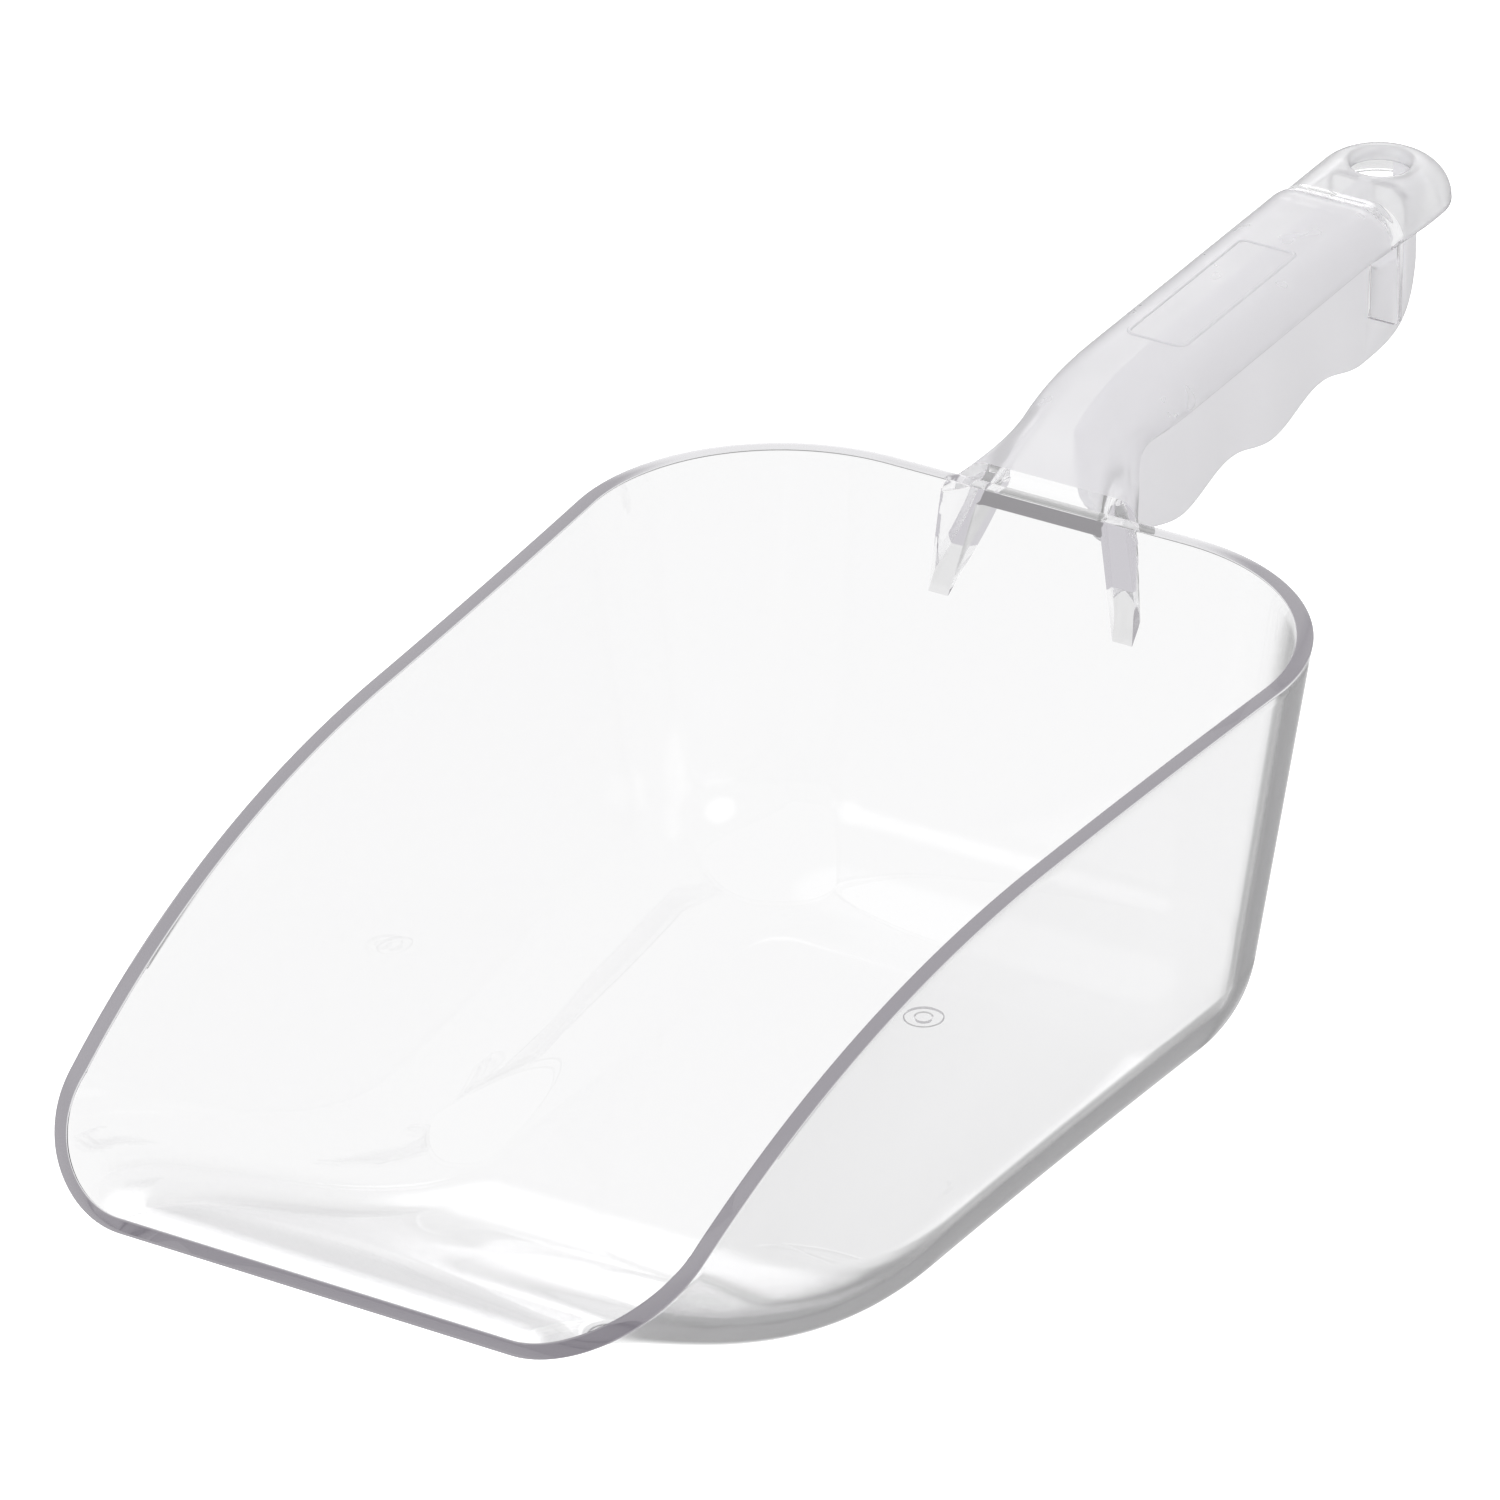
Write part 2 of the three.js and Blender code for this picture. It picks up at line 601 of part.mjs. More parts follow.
const scoop = new THREE.Group();
scoop.name = "ice_scoop";
scoop.add(
  section("bowl", bowl(), clearPlastic()),
  section("handle_shell", handleShell(), satinPlastic()),
  section("hang_tab", hangTab(), clearPlastic()),
  section("finger_rib", fingerRib(), satinPlastic()),
  section("cross_web_left", crossWeb(-1), clearPlastic()),
  section("cross_web_right", crossWeb(1), clearPlastic()),
  section("gusset_left", gusset(-1), clearPlastic()),
  section("gusset_right", gusset(1), clearPlastic()),
);

export default scoop;
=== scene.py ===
"""Looks of the clear plastic ice scoop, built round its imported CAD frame.

The bowl and the channel of the handle are one clear moulding. They are built here as one smooth
closed body, which is then cut at flat planes into the pieces that stand for the CAD nodes. The cut
faces carry a see-through material on both sides, so light crosses them as if the plastic ran on.
The finger rib and the two halves of the cross web are plates of their own.

Lengths in the shape code are in millimetres. The origin is the middle of the flat base.
"""
from math import acos, asin, copysign, cos, hypot, pi, radians, sin, sqrt, tan

import bmesh
import bpy
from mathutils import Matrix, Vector


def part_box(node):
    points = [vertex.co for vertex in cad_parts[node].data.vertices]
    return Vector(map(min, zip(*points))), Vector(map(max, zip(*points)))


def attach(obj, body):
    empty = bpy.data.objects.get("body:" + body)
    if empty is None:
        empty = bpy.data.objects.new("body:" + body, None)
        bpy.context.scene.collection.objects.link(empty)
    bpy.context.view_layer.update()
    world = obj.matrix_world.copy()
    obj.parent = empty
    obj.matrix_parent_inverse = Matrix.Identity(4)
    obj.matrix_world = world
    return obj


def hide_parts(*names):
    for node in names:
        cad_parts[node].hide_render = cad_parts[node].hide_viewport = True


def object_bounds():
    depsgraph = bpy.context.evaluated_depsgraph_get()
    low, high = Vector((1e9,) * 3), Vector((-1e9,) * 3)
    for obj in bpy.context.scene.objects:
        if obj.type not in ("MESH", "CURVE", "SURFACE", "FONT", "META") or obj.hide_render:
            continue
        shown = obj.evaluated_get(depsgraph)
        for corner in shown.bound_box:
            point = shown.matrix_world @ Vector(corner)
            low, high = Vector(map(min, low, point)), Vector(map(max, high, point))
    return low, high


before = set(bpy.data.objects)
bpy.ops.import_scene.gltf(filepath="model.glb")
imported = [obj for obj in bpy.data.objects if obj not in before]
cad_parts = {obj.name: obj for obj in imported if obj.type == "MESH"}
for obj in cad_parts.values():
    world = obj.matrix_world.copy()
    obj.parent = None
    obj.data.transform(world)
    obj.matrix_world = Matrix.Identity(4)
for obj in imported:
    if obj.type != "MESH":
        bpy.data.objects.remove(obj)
cad_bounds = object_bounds()

MM = 0.001
SHARP_ANGLE = radians(32)
RIGHT, BACK, UP = Vector((1, 0, 0)), Vector((0, 1, 0)), Vector((0, 0, 1))

# Material slots of every piece of the scoop, in the order of SCOOP_MATERIALS
CLEAR, SATIN, JOIN, POLISHED, FROSTED, SHADED, HAZE_AND_SHADE = range(7)


def box_mm(node):
    low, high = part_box(node)
    return low / MM, high / MM


# ---- Driving dimensions ---------------------------------------------------------------------

bowl_low, bowl_high = box_mm("bowl")
tab_low, tab_high = box_mm("hang_tab")
gusset_low = box_mm("gusset_right")[0]

DEPTH = bowl_high.z
REAR_Y = bowl_high.y
LIP_Y = bowl_low.y
RIM_HALF_WIDTH = 70.0
WALL = 3.0
REAR_CORNER = 40.0
SIDE_TAPER = radians(3.7)
SIDE_EASING = 0.00019  # per mm: the taper eases off towards the lip
DRAFT = radians(7.9)
FILLET = 25.0
RIM_LEVEL_LENGTH = 116.0
LIP_HEIGHT = 47.0
FLAT_FLOOR_LENGTH = 129.0
EDGE_ROUNDING = 0.3
LIP_BLEND = 10.0  # how far back from the lip its rounding makes room
GATE_Y = 26.5
GATE_RADIUS = 3.7
GATE_PIP_RADIUS = 1.5
GATE_DEPTH = 0.6

TAB_START = tab_low.y - REAR_Y
TAB_RADIUS = tab_high.x
TAB_CENTRE = tab_high.y - REAR_Y - TAB_RADIUS
GRIP_HALF_WIDTH = TAB_RADIUS
GRIP_TOP = 13.3
GRIP_PLATE = 3.0
SKIRT = 2.6
SHOULDER = 7.0
SKIRT_BOTTOM = 6.5
SKIRT_EDGE = 0.5
GRIP_RISE_LENGTH = 37.0
ROOT_FLARE = 15.0
ROOT_WIDENING, INNER_ROOT_WIDENING = 6.6, 2.0
ROOT_DEPTH = 4.2
ROOT_SUNK = 1.6  # how far the channel reaches into the rear wall
ROOT_FILLET = 1.0
ROOT_FILLET_LENGTH = 3.0
CLEAR_ROOT = 2.2  # the outside is clear up to here, and satin after it
SHADED_ROOT = 3.1  # the inside glows a painted grey shade up to here
ARCH_START = 8.0
ARCH_END = 18.0
STEP_START, STEP_END, STEP_HEIGHT = 105.0, 110.0, 1.0
TAB_SKIRT_BOTTOM = 4.7
SKIRT_DROP_START, SKIRT_DROP_END = 95.0, 120.0
HANG_HOLE_RADIUS = 5.4
HANG_HOLE_ROUNDING = 1.4
GUSSET_DEPTH = DEPTH - gusset_low.z
GUSSET_LEAN = 2.4
GUSSET_NARROWING = 0.45
GUSSET_SUNK = 1.4
GUSSET_RISE = 0.06  # share of its height by which a gusset reaches up into the root
GUSSET_HOLLOW = 3.0  # how far the curve of its back is drawn in
GUSSET_TIP = 0.05
GUSSET_HAZE_AND_SHADE = 0.55  # share of its height whose back is hazy, and glows a painted lilac-grey shade from inside

PLATE_ROUNDING = 0.45
RIB_THICKNESS = 2.5
RIB_START = 13.2
RIB_DEPTH = 24.4
FINGER_PITCH = 34.3
FINGER_DEPTH = 1.7
LAST_CREST = 118.5
FIRST_HOLLOW = LAST_CREST - 2.5 * FINGER_PITCH
RIB_TAIL = 138.6
RIB_TAIL_CLEARANCE = 0.3
HOOK_SLOT_END = 132.5
HOOK_SLOT_DEPTH = 9.0
WEB_Y = 119.0
WEB_THICKNESS = 2.0
WEB_HALF_WIDTH = 7.6
WEB_BOTTOM = -17.0
WEB_CORNER = 1.0
WEB_BEVEL_WIDTH, WEB_BEVEL_HEIGHT = 1.6, 1.2
WEB_GAP_ABOVE, WEB_GAP_BESIDE = 0.1, 0.05

LABEL_START, LABEL_END = 39.5, 83.0
LABEL_HALF_WIDTH = 6.2
LABEL_CORNER = 2.0
LABEL_LINE = 0.8
LABEL_HEIGHT = 0.35

CUTTER_REACH = 1.0  # how far a cutter, or what is joined on, goes past the surface
CUT_BEHIND_WALL = 0.4
CUT_BELOW_ROOT = 0.15

# Steps in each stretch of a mesh
REAR_STEPS, CORNER_STEPS, SIDE_STEPS = 6, 36, 170
FILLET_STEPS, WALL_STEPS, EDGE_STEPS = 16, 6, 5
SHOULDER_STEPS, INNER_SHOULDER_STEPS, FOOT_STEPS = 14, 10, 3
TAB_STEPS = 40
GUSSET_STEPS, GUSSET_DEPTH_STEPS = 22, 8
RIB_END_STEPS, WAVE_STEPS, RIB_TOP_STEPS = 24, 90, 70
SIDE_CROWDING, RIM_CROWDING = 1.9, 3  # rows lie closer together towards the lip and the rim


def mix(a, b, t):
    return a + (b - a) * t


def clamp(value, low=0.0, high=1.0):
    return max(low, min(high, value))


def steps(start, end, count):
    return [mix(start, end, i / count) for i in range(count + 1)]


# ---- Meshes ---------------------------------------------------------------------------------

def turn_outwards(body):
    """Turns every face of a closed bmesh body outwards."""
    bmesh.ops.recalc_face_normals(body, faces=body.faces)
    if body.calc_volume(signed=True) < 0:
        bmesh.ops.reverse_faces(body, faces=body.faces)


def add_piece(name, points, faces, slots=None):
    """A mesh object from points in millimetres, with every face turned outwards."""
    mesh = bpy.data.meshes.new(name)
    mesh.from_pydata([Vector(p) * MM for p in points], [], faces)
    for material in SCOOP_MATERIALS:
        mesh.materials.append(material)
    if slots:
        mesh.polygons.foreach_set("material_index", slots)
    tidy = bmesh.new()
    tidy.from_mesh(mesh)
    bmesh.ops.remove_doubles(tidy, verts=tidy.verts, dist=1e-6)
    bmesh.ops.dissolve_degenerate(tidy, edges=tidy.edges, dist=1e-7)
    turn_outwards(tidy)
    tidy.to_mesh(mesh)
    tidy.free()
    piece = bpy.data.objects.new(name, mesh)
    bpy.context.scene.collection.objects.link(piece)
    return piece


def grid_faces(rows, columns, closed, first=0):
    """Four-sided faces between rows of points; a closed row joins its last point to its first."""
    faces = []
    for i in range(rows - 1):
        for j in range(columns if closed else columns - 1):
            k = (j + 1) % columns
            low, high = first + i * columns, first + (i + 1) * columns
            faces.append((low + j, low + k, high + k, high + j))
    return faces


def loft(name, rows, slot_of=None, start_cap=True, end_cap=True):
    """A closed body through rows of points that each run once round it."""
    columns = len(rows[0])
    points = [p for row in rows for p in row]
    faces = grid_faces(len(rows), columns, True)
    slots = [CLEAR] * len(faces)
    if slot_of:
        slots = [slot_of(i // columns, i % columns) for i in range(len(faces))]
    if start_cap:
        faces.append(tuple(range(columns)))
        slots.append(slots[0])
    if end_cap:
        faces.append(tuple(range(len(points) - columns, len(points))))
        slots.append(slots[-1])
    return add_piece(name, points, faces, slots)


def closed_ring(name, rows, slot):
    """A ring-shaped body: its last row of points joins its first."""
    columns = len(rows[0])
    points = [p for row in rows for p in row]
    faces = grid_faces(len(rows), columns, True)
    last = len(points) - columns
    for j in range(columns):
        k = (j + 1) % columns
        faces.append((last + j, last + k, k, j))
    return add_piece(name, points, faces, [slot] * len(faces))


def combine(target, other, operation):
    """Joins other to target, or cuts it away, and removes other."""
    modifier = target.modifiers.new("combine", "BOOLEAN")
    modifier.operation = operation
    modifier.solver = "MANIFOLD"
    modifier.object = other
    bpy.context.view_layer.update()
    evaluated = target.evaluated_get(bpy.context.evaluated_depsgraph_get())
    mesh = bpy.data.meshes.new_from_object(evaluated)
    target.modifiers.remove(modifier)
    target.data = mesh
    bpy.data.objects.remove(other)


# ---- Bowl -----------------------------------------------------------------------------------

class Bezier:
    """A cubic curve of [y, height] points that runs steadily towards the lip."""

    def __init__(self, *points):
        self.points = points

    def at(self, t):
        weights = ((1 - t) ** 3, 3 * t * (1 - t) ** 2, 3 * t * t * (1 - t), t**3)
        return tuple(sum(w * p[k] for w, p in zip(weights, self.points)) for k in (0, 1))

    def parameter(self, y):
        low, high = 0.0, 1.0
        for _ in range(40):
            middle = (low + high) / 2
            if (self.at(middle)[0] < y) == (self.points[3][0] > self.points[0][0]):
                low = middle
            else:
                high = middle
        return (low + high) / 2

    def height(self, y):
        return self.at(self.parameter(y))[1]

    def slope(self, y):
        t = self.parameter(y)
        near, far = self.at(t - 1e-4), self.at(t + 1e-4)
        return (far[1] - near[1]) / (far[0] - near[0])


RIM_START = REAR_Y - RIM_LEVEL_LENGTH
RAMP_START = REAR_Y - FLAT_FLOOR_LENGTH
rim_curve = Bezier(
    (RIM_START, DEPTH),
    (RIM_START - 67, DEPTH),
    (LIP_Y + 20, LIP_HEIGHT + 14.6),
    (LIP_Y, LIP_HEIGHT),
)
ramp_curve = Bezier(
    (RAMP_START, 0),
    (RAMP_START - 41, 0),
    (LIP_Y + 23.5, LIP_HEIGHT - 2.7),
    (LIP_Y, LIP_HEIGHT),
)


def rim_height(y):
    return DEPTH if y > RIM_START else rim_curve.height(y)


def floor_height(y):
    return 0.0 if y > RAMP_START else ramp_curve.height(y)


def floor_thickness(y):
    """Measured straight up, so that the ramp is WALL thick square to itself."""
    return WALL if y > RAMP_START else WALL * hypot(1, ramp_curve.slope(y))


def bowl_stations():
    """Points round the right half of the rim from above, with the way out of the wall there.

    The third value is the place on the centreline where a section starts, if it isn't straight
    across from the point.
    """
    centre_x, centre_y = RIM_HALF_WIDTH - REAR_CORNER, REAR_Y - REAR_CORNER
    stations = [((centre_x * part, REAR_Y), (0.0, 1.0)) for part in steps(0, 1, REAR_STEPS)[:-1]]
    for angle in steps(pi / 2, -SIDE_TAPER, CORNER_STEPS):
        out = (cos(angle), sin(angle))
        stations.append(((centre_x + REAR_CORNER * out[0], centre_y + REAR_CORNER * out[1]), out))
    start_x, start_y = stations[-1][0]
    for left in steps(1, 0, SIDE_STEPS)[1:]:
        y = mix(LIP_Y, start_y, left**SIDE_CROWDING)
        run = start_y - y
        slope = 2 * SIDE_EASING * run - tan(SIDE_TAPER)
        size = hypot(1, slope)
        point = (start_x - run * tan(SIDE_TAPER) + SIDE_EASING * run**2, y)
        stations.append((point, (1 / size, slope / size)))
    fan_start = start_y - sin(SIDE_TAPER) * fillet_centre(FILLET)
    round_corner = REAR_STEPS + CORNER_STEPS + 1
    return [
        (point, out, fan_start if i < round_corner else None)
        for i, (point, out) in enumerate(stations)
    ]


def fillet_centre(centre):
    """How far the centre of the fillet lies out from the rim, for its height above the base."""
    return (centre - DEPTH) * tan(DRAFT) - FILLET / cos(DRAFT)


def bowl_section(point, out, fan_start, lowered=0.0):
    """Underside and inside of one section, each from the centreline out to the rim.

    The sections round the rear corners fan out from one point of the centreline.
    """
    rim, floor = rim_height(point[1]) - lowered, floor_height(point[1])
    thickness = floor_thickness(point[1])
    centre = floor + FILLET
    centre_offset = fillet_centre(centre)

    def at(offset, height):
        return Vector((point[0] + out[0] * offset, point[1] + out[1] * offset, height))

    start = asin(clamp((centre - rim) / FILLET, sin(DRAFT), 1))
    on_wall = rim > centre - FILLET * sin(DRAFT)
    outer = [
        at(centre_offset + FILLET * cos(a), centre - FILLET * sin(a))
        for a in steps(pi / 2, start, FILLET_STEPS)
    ]
    inner_radius = FILLET - WALL
    inner_level = asin(FILLET * sin(DRAFT) / inner_radius)
    turned = (start - DRAFT) / (pi / 2 - DRAFT)
    inner_start = DRAFT if on_wall else mix(inner_level, pi / 2, turned)
    inner = [
        at(centre_offset + inner_radius * cos(a), centre - (FILLET - thickness) * sin(a))
        for a in steps(pi / 2, inner_start, FILLET_STEPS)
    ]
    if on_wall:
        top = (rim - DEPTH) * tan(DRAFT)
        outer_rim, inner_rim = at(top, rim), at(top - WALL / cos(DRAFT), rim)
        closer = [1 - (1 - t) ** RIM_CROWDING for t in steps(0, 1, WALL_STEPS)[1:]]
        outer += [outer[-1].lerp(outer_rim, t) for t in closer]
        inner += [inner[-1].lerp(inner_rim, t) for t in closer]
    else:
        outer += [outer[-1].copy() for _ in range(WALL_STEPS)]
        inner += [inner[-1].copy() for _ in range(WALL_STEPS)]
    spine_y = fan_start if fan_start else outer[0].y
    under = [Vector((0, spine_y, floor))] + outer
    over = [Vector((0, spine_y, floor + thickness))] + inner
    return under, over


def edge_curve(outer, inner, out):
    """Rounded edge from the underside to the inside, where out points out of the material."""
    across = inner - outer
    size = min(EDGE_ROUNDING, across.length / 2.2)
    across.normalize()
    quarter = steps(0, pi / 2, EDGE_STEPS)
    first = [outer - out * size * (1 - sin(a)) + across * size * (1 - cos(a)) for a in quarter]
    second = [inner - out * size * (1 - sin(a)) - across * size * (1 - cos(a)) for a in quarter]
    return first + second[::-1]


def edge_direction(before, after, outer, inner):
    """The way out of the material at the rim, square to the rim's run and to its width."""
    out = (after - before).cross(inner - outer).normalized()
    return out if out.dot(Vector((0, -0.5, 1))) > 0 else -out


def drawn_back(row):
    """Makes room for the lip's rounding, by moving what is near the lip back a little."""
    moved = []
    for p in row:
        near = clamp(1 - (p.y - LIP_Y) / LIP_BLEND)
        moved.append(p + Vector((0, EDGE_ROUNDING * near**2, 0)))
    return moved


def mirrored(row):
    return [Vector((-p.x, p.y, p.z)) for p in row]


def bowl_rows():
    """Right half of the bowl: each row runs out under the floor, over the rim and back inside."""
    stations = bowl_stations()
    corners = [(under[-1], over[-1]) for under, over in (bowl_section(*s) for s in stations)]
    middles = [(outer + inner) / 2 for outer, inner in corners]
    middles = [middles[0] - RIGHT] + middles + [middles[-1] - RIGHT]
    rows = []
    for i, (station, (outer, inner)) in enumerate(zip(stations, corners)):
        out = edge_direction(middles[i], middles[i + 2], outer, inner)
        edge = edge_curve(outer, inner, out)
        under, over = bowl_section(*station, lowered=EDGE_ROUNDING * out.z)
        rows.append((drawn_back(under[:-1]), edge, drawn_back(over[:-1])))
    return rows


def lip_rows(under, over):
    """The lip's rounded front from the centreline out to the rim, one edge curve for each column."""
    forward = -BACK
    ahead = Vector((0, EDGE_ROUNDING, 0))
    return [edge_curve(a - ahead, b - ahead, forward) for a, b in zip(under, over)]


def bowl_body():
    right = bowl_rows()
    whole = [under + edge + over[::-1] for under, edge, over in right]
    width = len(whole[0])
    ring = [mirrored(row) for row in whole[:0:-1]] + whole
    points = [p for row in ring for p in row]
    faces = grid_faces(len(ring), width, False)
    under, edge, over = right[-1]
    lip = lip_rows(under, over) + [edge]
    for half in (lip, [mirrored(row) for row in lip]):
        first = len(points)
        points += [p for row in half for p in row]
        faces += grid_faces(len(half), len(edge), False, first)
    return add_piece("bowl_body", points, faces)


def ring_cutter(name, profile, y, base, count=64, slot=CLEAR):
    """A closed body turned about an upright axis on the centreline, from [radius, height] points."""
    rows = []
    for i in range(count):
        angle = 2 * pi * i / count
        rows.append([(r * cos(angle), y + r * sin(angle), base + h) for r, h in profile])
    return closed_ring(name, rows, slot)


def gate_cutter():
    soft = 0.25
    profile = [
        (GATE_PIP_RADIUS, -CUTTER_REACH),
        (GATE_RADIUS, -CUTTER_REACH),
        (GATE_RADIUS, GATE_DEPTH - soft),
        (GATE_RADIUS - soft, GATE_DEPTH),
        (GATE_PIP_RADIUS + soft, GATE_DEPTH),
        (GATE_PIP_RADIUS, GATE_DEPTH - soft),
    ]
    return ring_cutter("gate_cutter", profile, GATE_Y, 0)


# ---- Handle ---------------------------------------------------------------------------------

ROOT_SLOPE = 0.88
top_curve = Bezier((0, 0), (10, 10 * ROOT_SLOPE), (18, GRIP_TOP), (GRIP_RISE_LENGTH, GRIP_TOP))


def smooth(value, low, high):
    t = clamp((value - low) / (high - low))
    return t * t * (3 - 2 * t)


def top_height(back):
    if back <= 0:
        return ROOT_SLOPE * back
    if back < GRIP_RISE_LENGTH:
        return top_curve.height(back)
    return GRIP_TOP - STEP_HEIGHT * smooth(back, STEP_START, STEP_END)


def skirt_bottom(back):
    if back <= ARCH_START:
        return -ROOT_DEPTH
    if back < ARCH_END:
        run = (ARCH_END - back) / (ARCH_END - ARCH_START)
        return -ROOT_DEPTH + (SKIRT_BOTTOM + ROOT_DEPTH) * sqrt(1 - run * run)
    drop = clamp((back - SKIRT_DROP_START) / (SKIRT_DROP_END - SKIRT_DROP_START))
    return mix(SKIRT_BOTTOM, TAB_SKIRT_BOTTOM, drop)


def root_flare(back):
    return clamp((ROOT_FLARE - back) / ROOT_FLARE) ** 2


def root_fillet(back):
    """How far the rounding between the rear wall and the top plate's underside hangs down."""
    return ROOT_FILLET * clamp(1 - back / ROOT_FILLET_LENGTH) ** 2


def outer_half_width(back):
    return GRIP_HALF_WIDTH + ROOT_WIDENING * root_flare(back)


def inner_half_width(back):
    return GRIP_HALF_WIDTH - SKIRT + INNER_ROOT_WIDENING * root_flare(back)


def channel_half(half_width, top, bottom, radius, edge, count):
    """Right half of one face of the channel, from the skirt's rounded lower edge to the top's flat.

    edge is the rounding, which turns inwards on the outside face and outwards on the inside one.
    """
    centre = top - radius
    lift = min(abs(edge), 0.4 * (top - bottom))
    start = asin(clamp((bottom + lift - centre) / radius))
    arc = [
        (half_width - radius + radius * cos(a), centre + radius * sin(a))
        for a in steps(start, pi / 2, count)
    ]
    side = arc[0][0]
    foot = [
        (side - copysign(lift, edge) * (1 - sin(a)), bottom + lift * (1 - cos(a)))
        for a in steps(0, pi / 2, FOOT_STEPS)
    ]
    return foot + arc


def channel_section(back):
    """[x, height] points round the inverted channel: the outside, then the inside."""
    bottom = skirt_bottom(back)
    top = top_height(back)
    radius = SHOULDER - (SHOULDER - ROOT_DEPTH) * root_flare(back)
    outer = channel_half(outer_half_width(back), top, bottom, radius, SKIRT_EDGE, SHOULDER_STEPS)
    inner_radius = max(radius - SKIRT, 0.6)
    under = max(top - GRIP_PLATE - root_fillet(back), bottom + 0.2)
    inner = channel_half(
        inner_half_width(back), under, bottom, inner_radius, -SKIRT_EDGE, INNER_SHOULDER_STEPS
    )
    flip = [(-x, z) for x, z in outer]
    flip_inner = [(-x, z) for x, z in inner]
    return outer + flip[::-1] + flip_inner + inner[::-1]


def is_outside(column):
    """Whether a column of faces lies between points of the outside, which come first in a row."""
    points_of_half = (SHOULDER_STEPS + 1) + (FOOT_STEPS + 1)
    return column < 2 * points_of_half - 1


def grip_point(x, height, back):
    return Vector((x, REAR_Y + back, DEPTH + height))


def handle_body():
    """The channel from inside the rear wall to the round end of the hang tab."""
    rows = []
    backs = [-ROOT_SUNK] + steps(0, ARCH_START, 10) + [
        mix(ARCH_END, ARCH_START, cos(a)) for a in steps(0, pi / 2, 16)[1:]
    ]
    backs += steps(ARCH_END, GRIP_RISE_LENGTH, 19)[1:]
    backs += steps(GRIP_RISE_LENGTH, STEP_START, 34)[1:]
    backs += steps(STEP_START, STEP_END, 12)[1:]
    backs += steps(STEP_END, TAB_START, 2)[1:] + steps(TAB_START, TAB_CENTRE, 8)[1:]
    for back in backs:
        rows.append([grip_point(x, z, back) for x, z in channel_section(back)])
    end = channel_section(TAB_CENTRE)
    for i in range(1, TAB_STEPS + 1):
        turn = pi / 2 * i / TAB_STEPS
        across = 0 if i == TAB_STEPS else cos(turn)
        rows.append(
            [grip_point(x * across, z, TAB_CENTRE + abs(x) * sin(turn)) for x, z in end]
        )

    def slot_of(row, column):
        back = backs[row] if row < len(backs) else TAB_CENTRE
        if not is_outside(column):
            return SHADED if back < SHADED_ROOT else CLEAR
        if back < CLEAR_ROOT or STEP_START <= back < STEP_END:
            return CLEAR
        return SATIN if back < STEP_START else POLISHED

    return loft("handle_body", rows, slot_of, end_cap=False)


PIN_HOLE = 0.001  # keeps the cutter of the hang hole a ring, too thin to leave anything standing


def hole_cutter():
    top, bottom = top_height(TAB_CENTRE), top_height(TAB_CENTRE) - GRIP_PLATE
    wide = HANG_HOLE_RADIUS + HANG_HOLE_ROUNDING

    def round_over(height, side):
        return [
            (
                wide - HANG_HOLE_ROUNDING * sin(a),
                height - side * HANG_HOLE_ROUNDING * (1 - cos(a)),
            )
            for a in steps(0, pi / 2, 8)
        ]

    below, above = bottom - CUTTER_REACH, top + CUTTER_REACH
    profile = [(PIN_HOLE, below), (wide, below)] + round_over(bottom, -1)
    profile += round_over(top, 1)[::-1] + [(wide, above), (PIN_HOLE, above)]
    return ring_cutter("hole_cutter", profile, REAR_Y + TAB_CENTRE, DEPTH, 96, POLISHED)


def rounded_rectangle(by):
    """Outline of the label from above, moved inwards."""
    corner = LABEL_CORNER - by
    half, low, high = LABEL_HALF_WIDTH - by, LABEL_START + by, LABEL_END - by
    centres = (
        (half - corner, low + corner, -90),
        (half - corner, high - corner, 0),
        (corner - half, high - corner, 90),
        (corner - half, low + corner, 180),
    )
    return [
        (x + corner * cos(radians(start + a)), y + corner * sin(radians(start + a)))
        for x, y, start in centres
        for a in steps(0, 90, 6)
    ]


def label_frame():
    """A low closed ring that stands on the grip."""
    high, low = DEPTH + GRIP_TOP + LABEL_HEIGHT, DEPTH + GRIP_TOP - CUTTER_REACH
    soft = 0.2
    levels = ((0, low), (0, high - soft), (soft, high), (LABEL_LINE - soft, high))
    levels += ((LABEL_LINE, high - soft), (LABEL_LINE, low))
    rows = [[(x, REAR_Y + y, z) for x, y in rounded_rectangle(by)] for by, z in levels]
    return closed_ring("label_frame", rows, SATIN)


def gusset_body(side):
    """A foot of the skirt: it fills the flare and runs down the rear wall to a thin tip."""
    rows = []
    parts = steps(0, 1, GUSSET_DEPTH_STEPS)
    rim_middle = (inner_half_width(0) + outer_half_width(0)) / 2
    for down in steps(-GUSSET_RISE, 1, GUSSET_STEPS):
        height = mix(-ROOT_DEPTH, -GUSSET_DEPTH, down)
        narrowing = 1 - GUSSET_NARROWING * down
        middle = rim_middle + GUSSET_LEAN * down
        wall_back = height * tan(DRAFT)
        reach = ARCH_START if down <= 0 else (
            (1 - down) ** 2 * ARCH_START
            + 2 * down * (1 - down) * (ARCH_START - GUSSET_HOLLOW)
            + down**2 * wall_back
        )
        start, end = wall_back - GUSSET_SUNK, max(reach, wall_back + GUSSET_TIP)
        row = []
        for half_width, run in ((outer_half_width, parts), (inner_half_width, parts[::-1])):
            for part in run:
                back = mix(start, end, part)
                x = half_width(max(back, 0)) - rim_middle
                row.append((middle + x * narrowing, back))
        rows.append([Vector((side * x, REAR_Y + back, DEPTH + height)) for x, back in row])
    haze_and_shade_rows = GUSSET_HAZE_AND_SHADE * GUSSET_STEPS
    back_column = len(parts) - 1

    def slot_of(row, column):
        return HAZE_AND_SHADE if column == back_column and row < haze_and_shade_rows else CLEAR

    return loft("gusset_body", rows, slot_of)


# ---- Finger rib and cross web ---------------------------------------------------------------

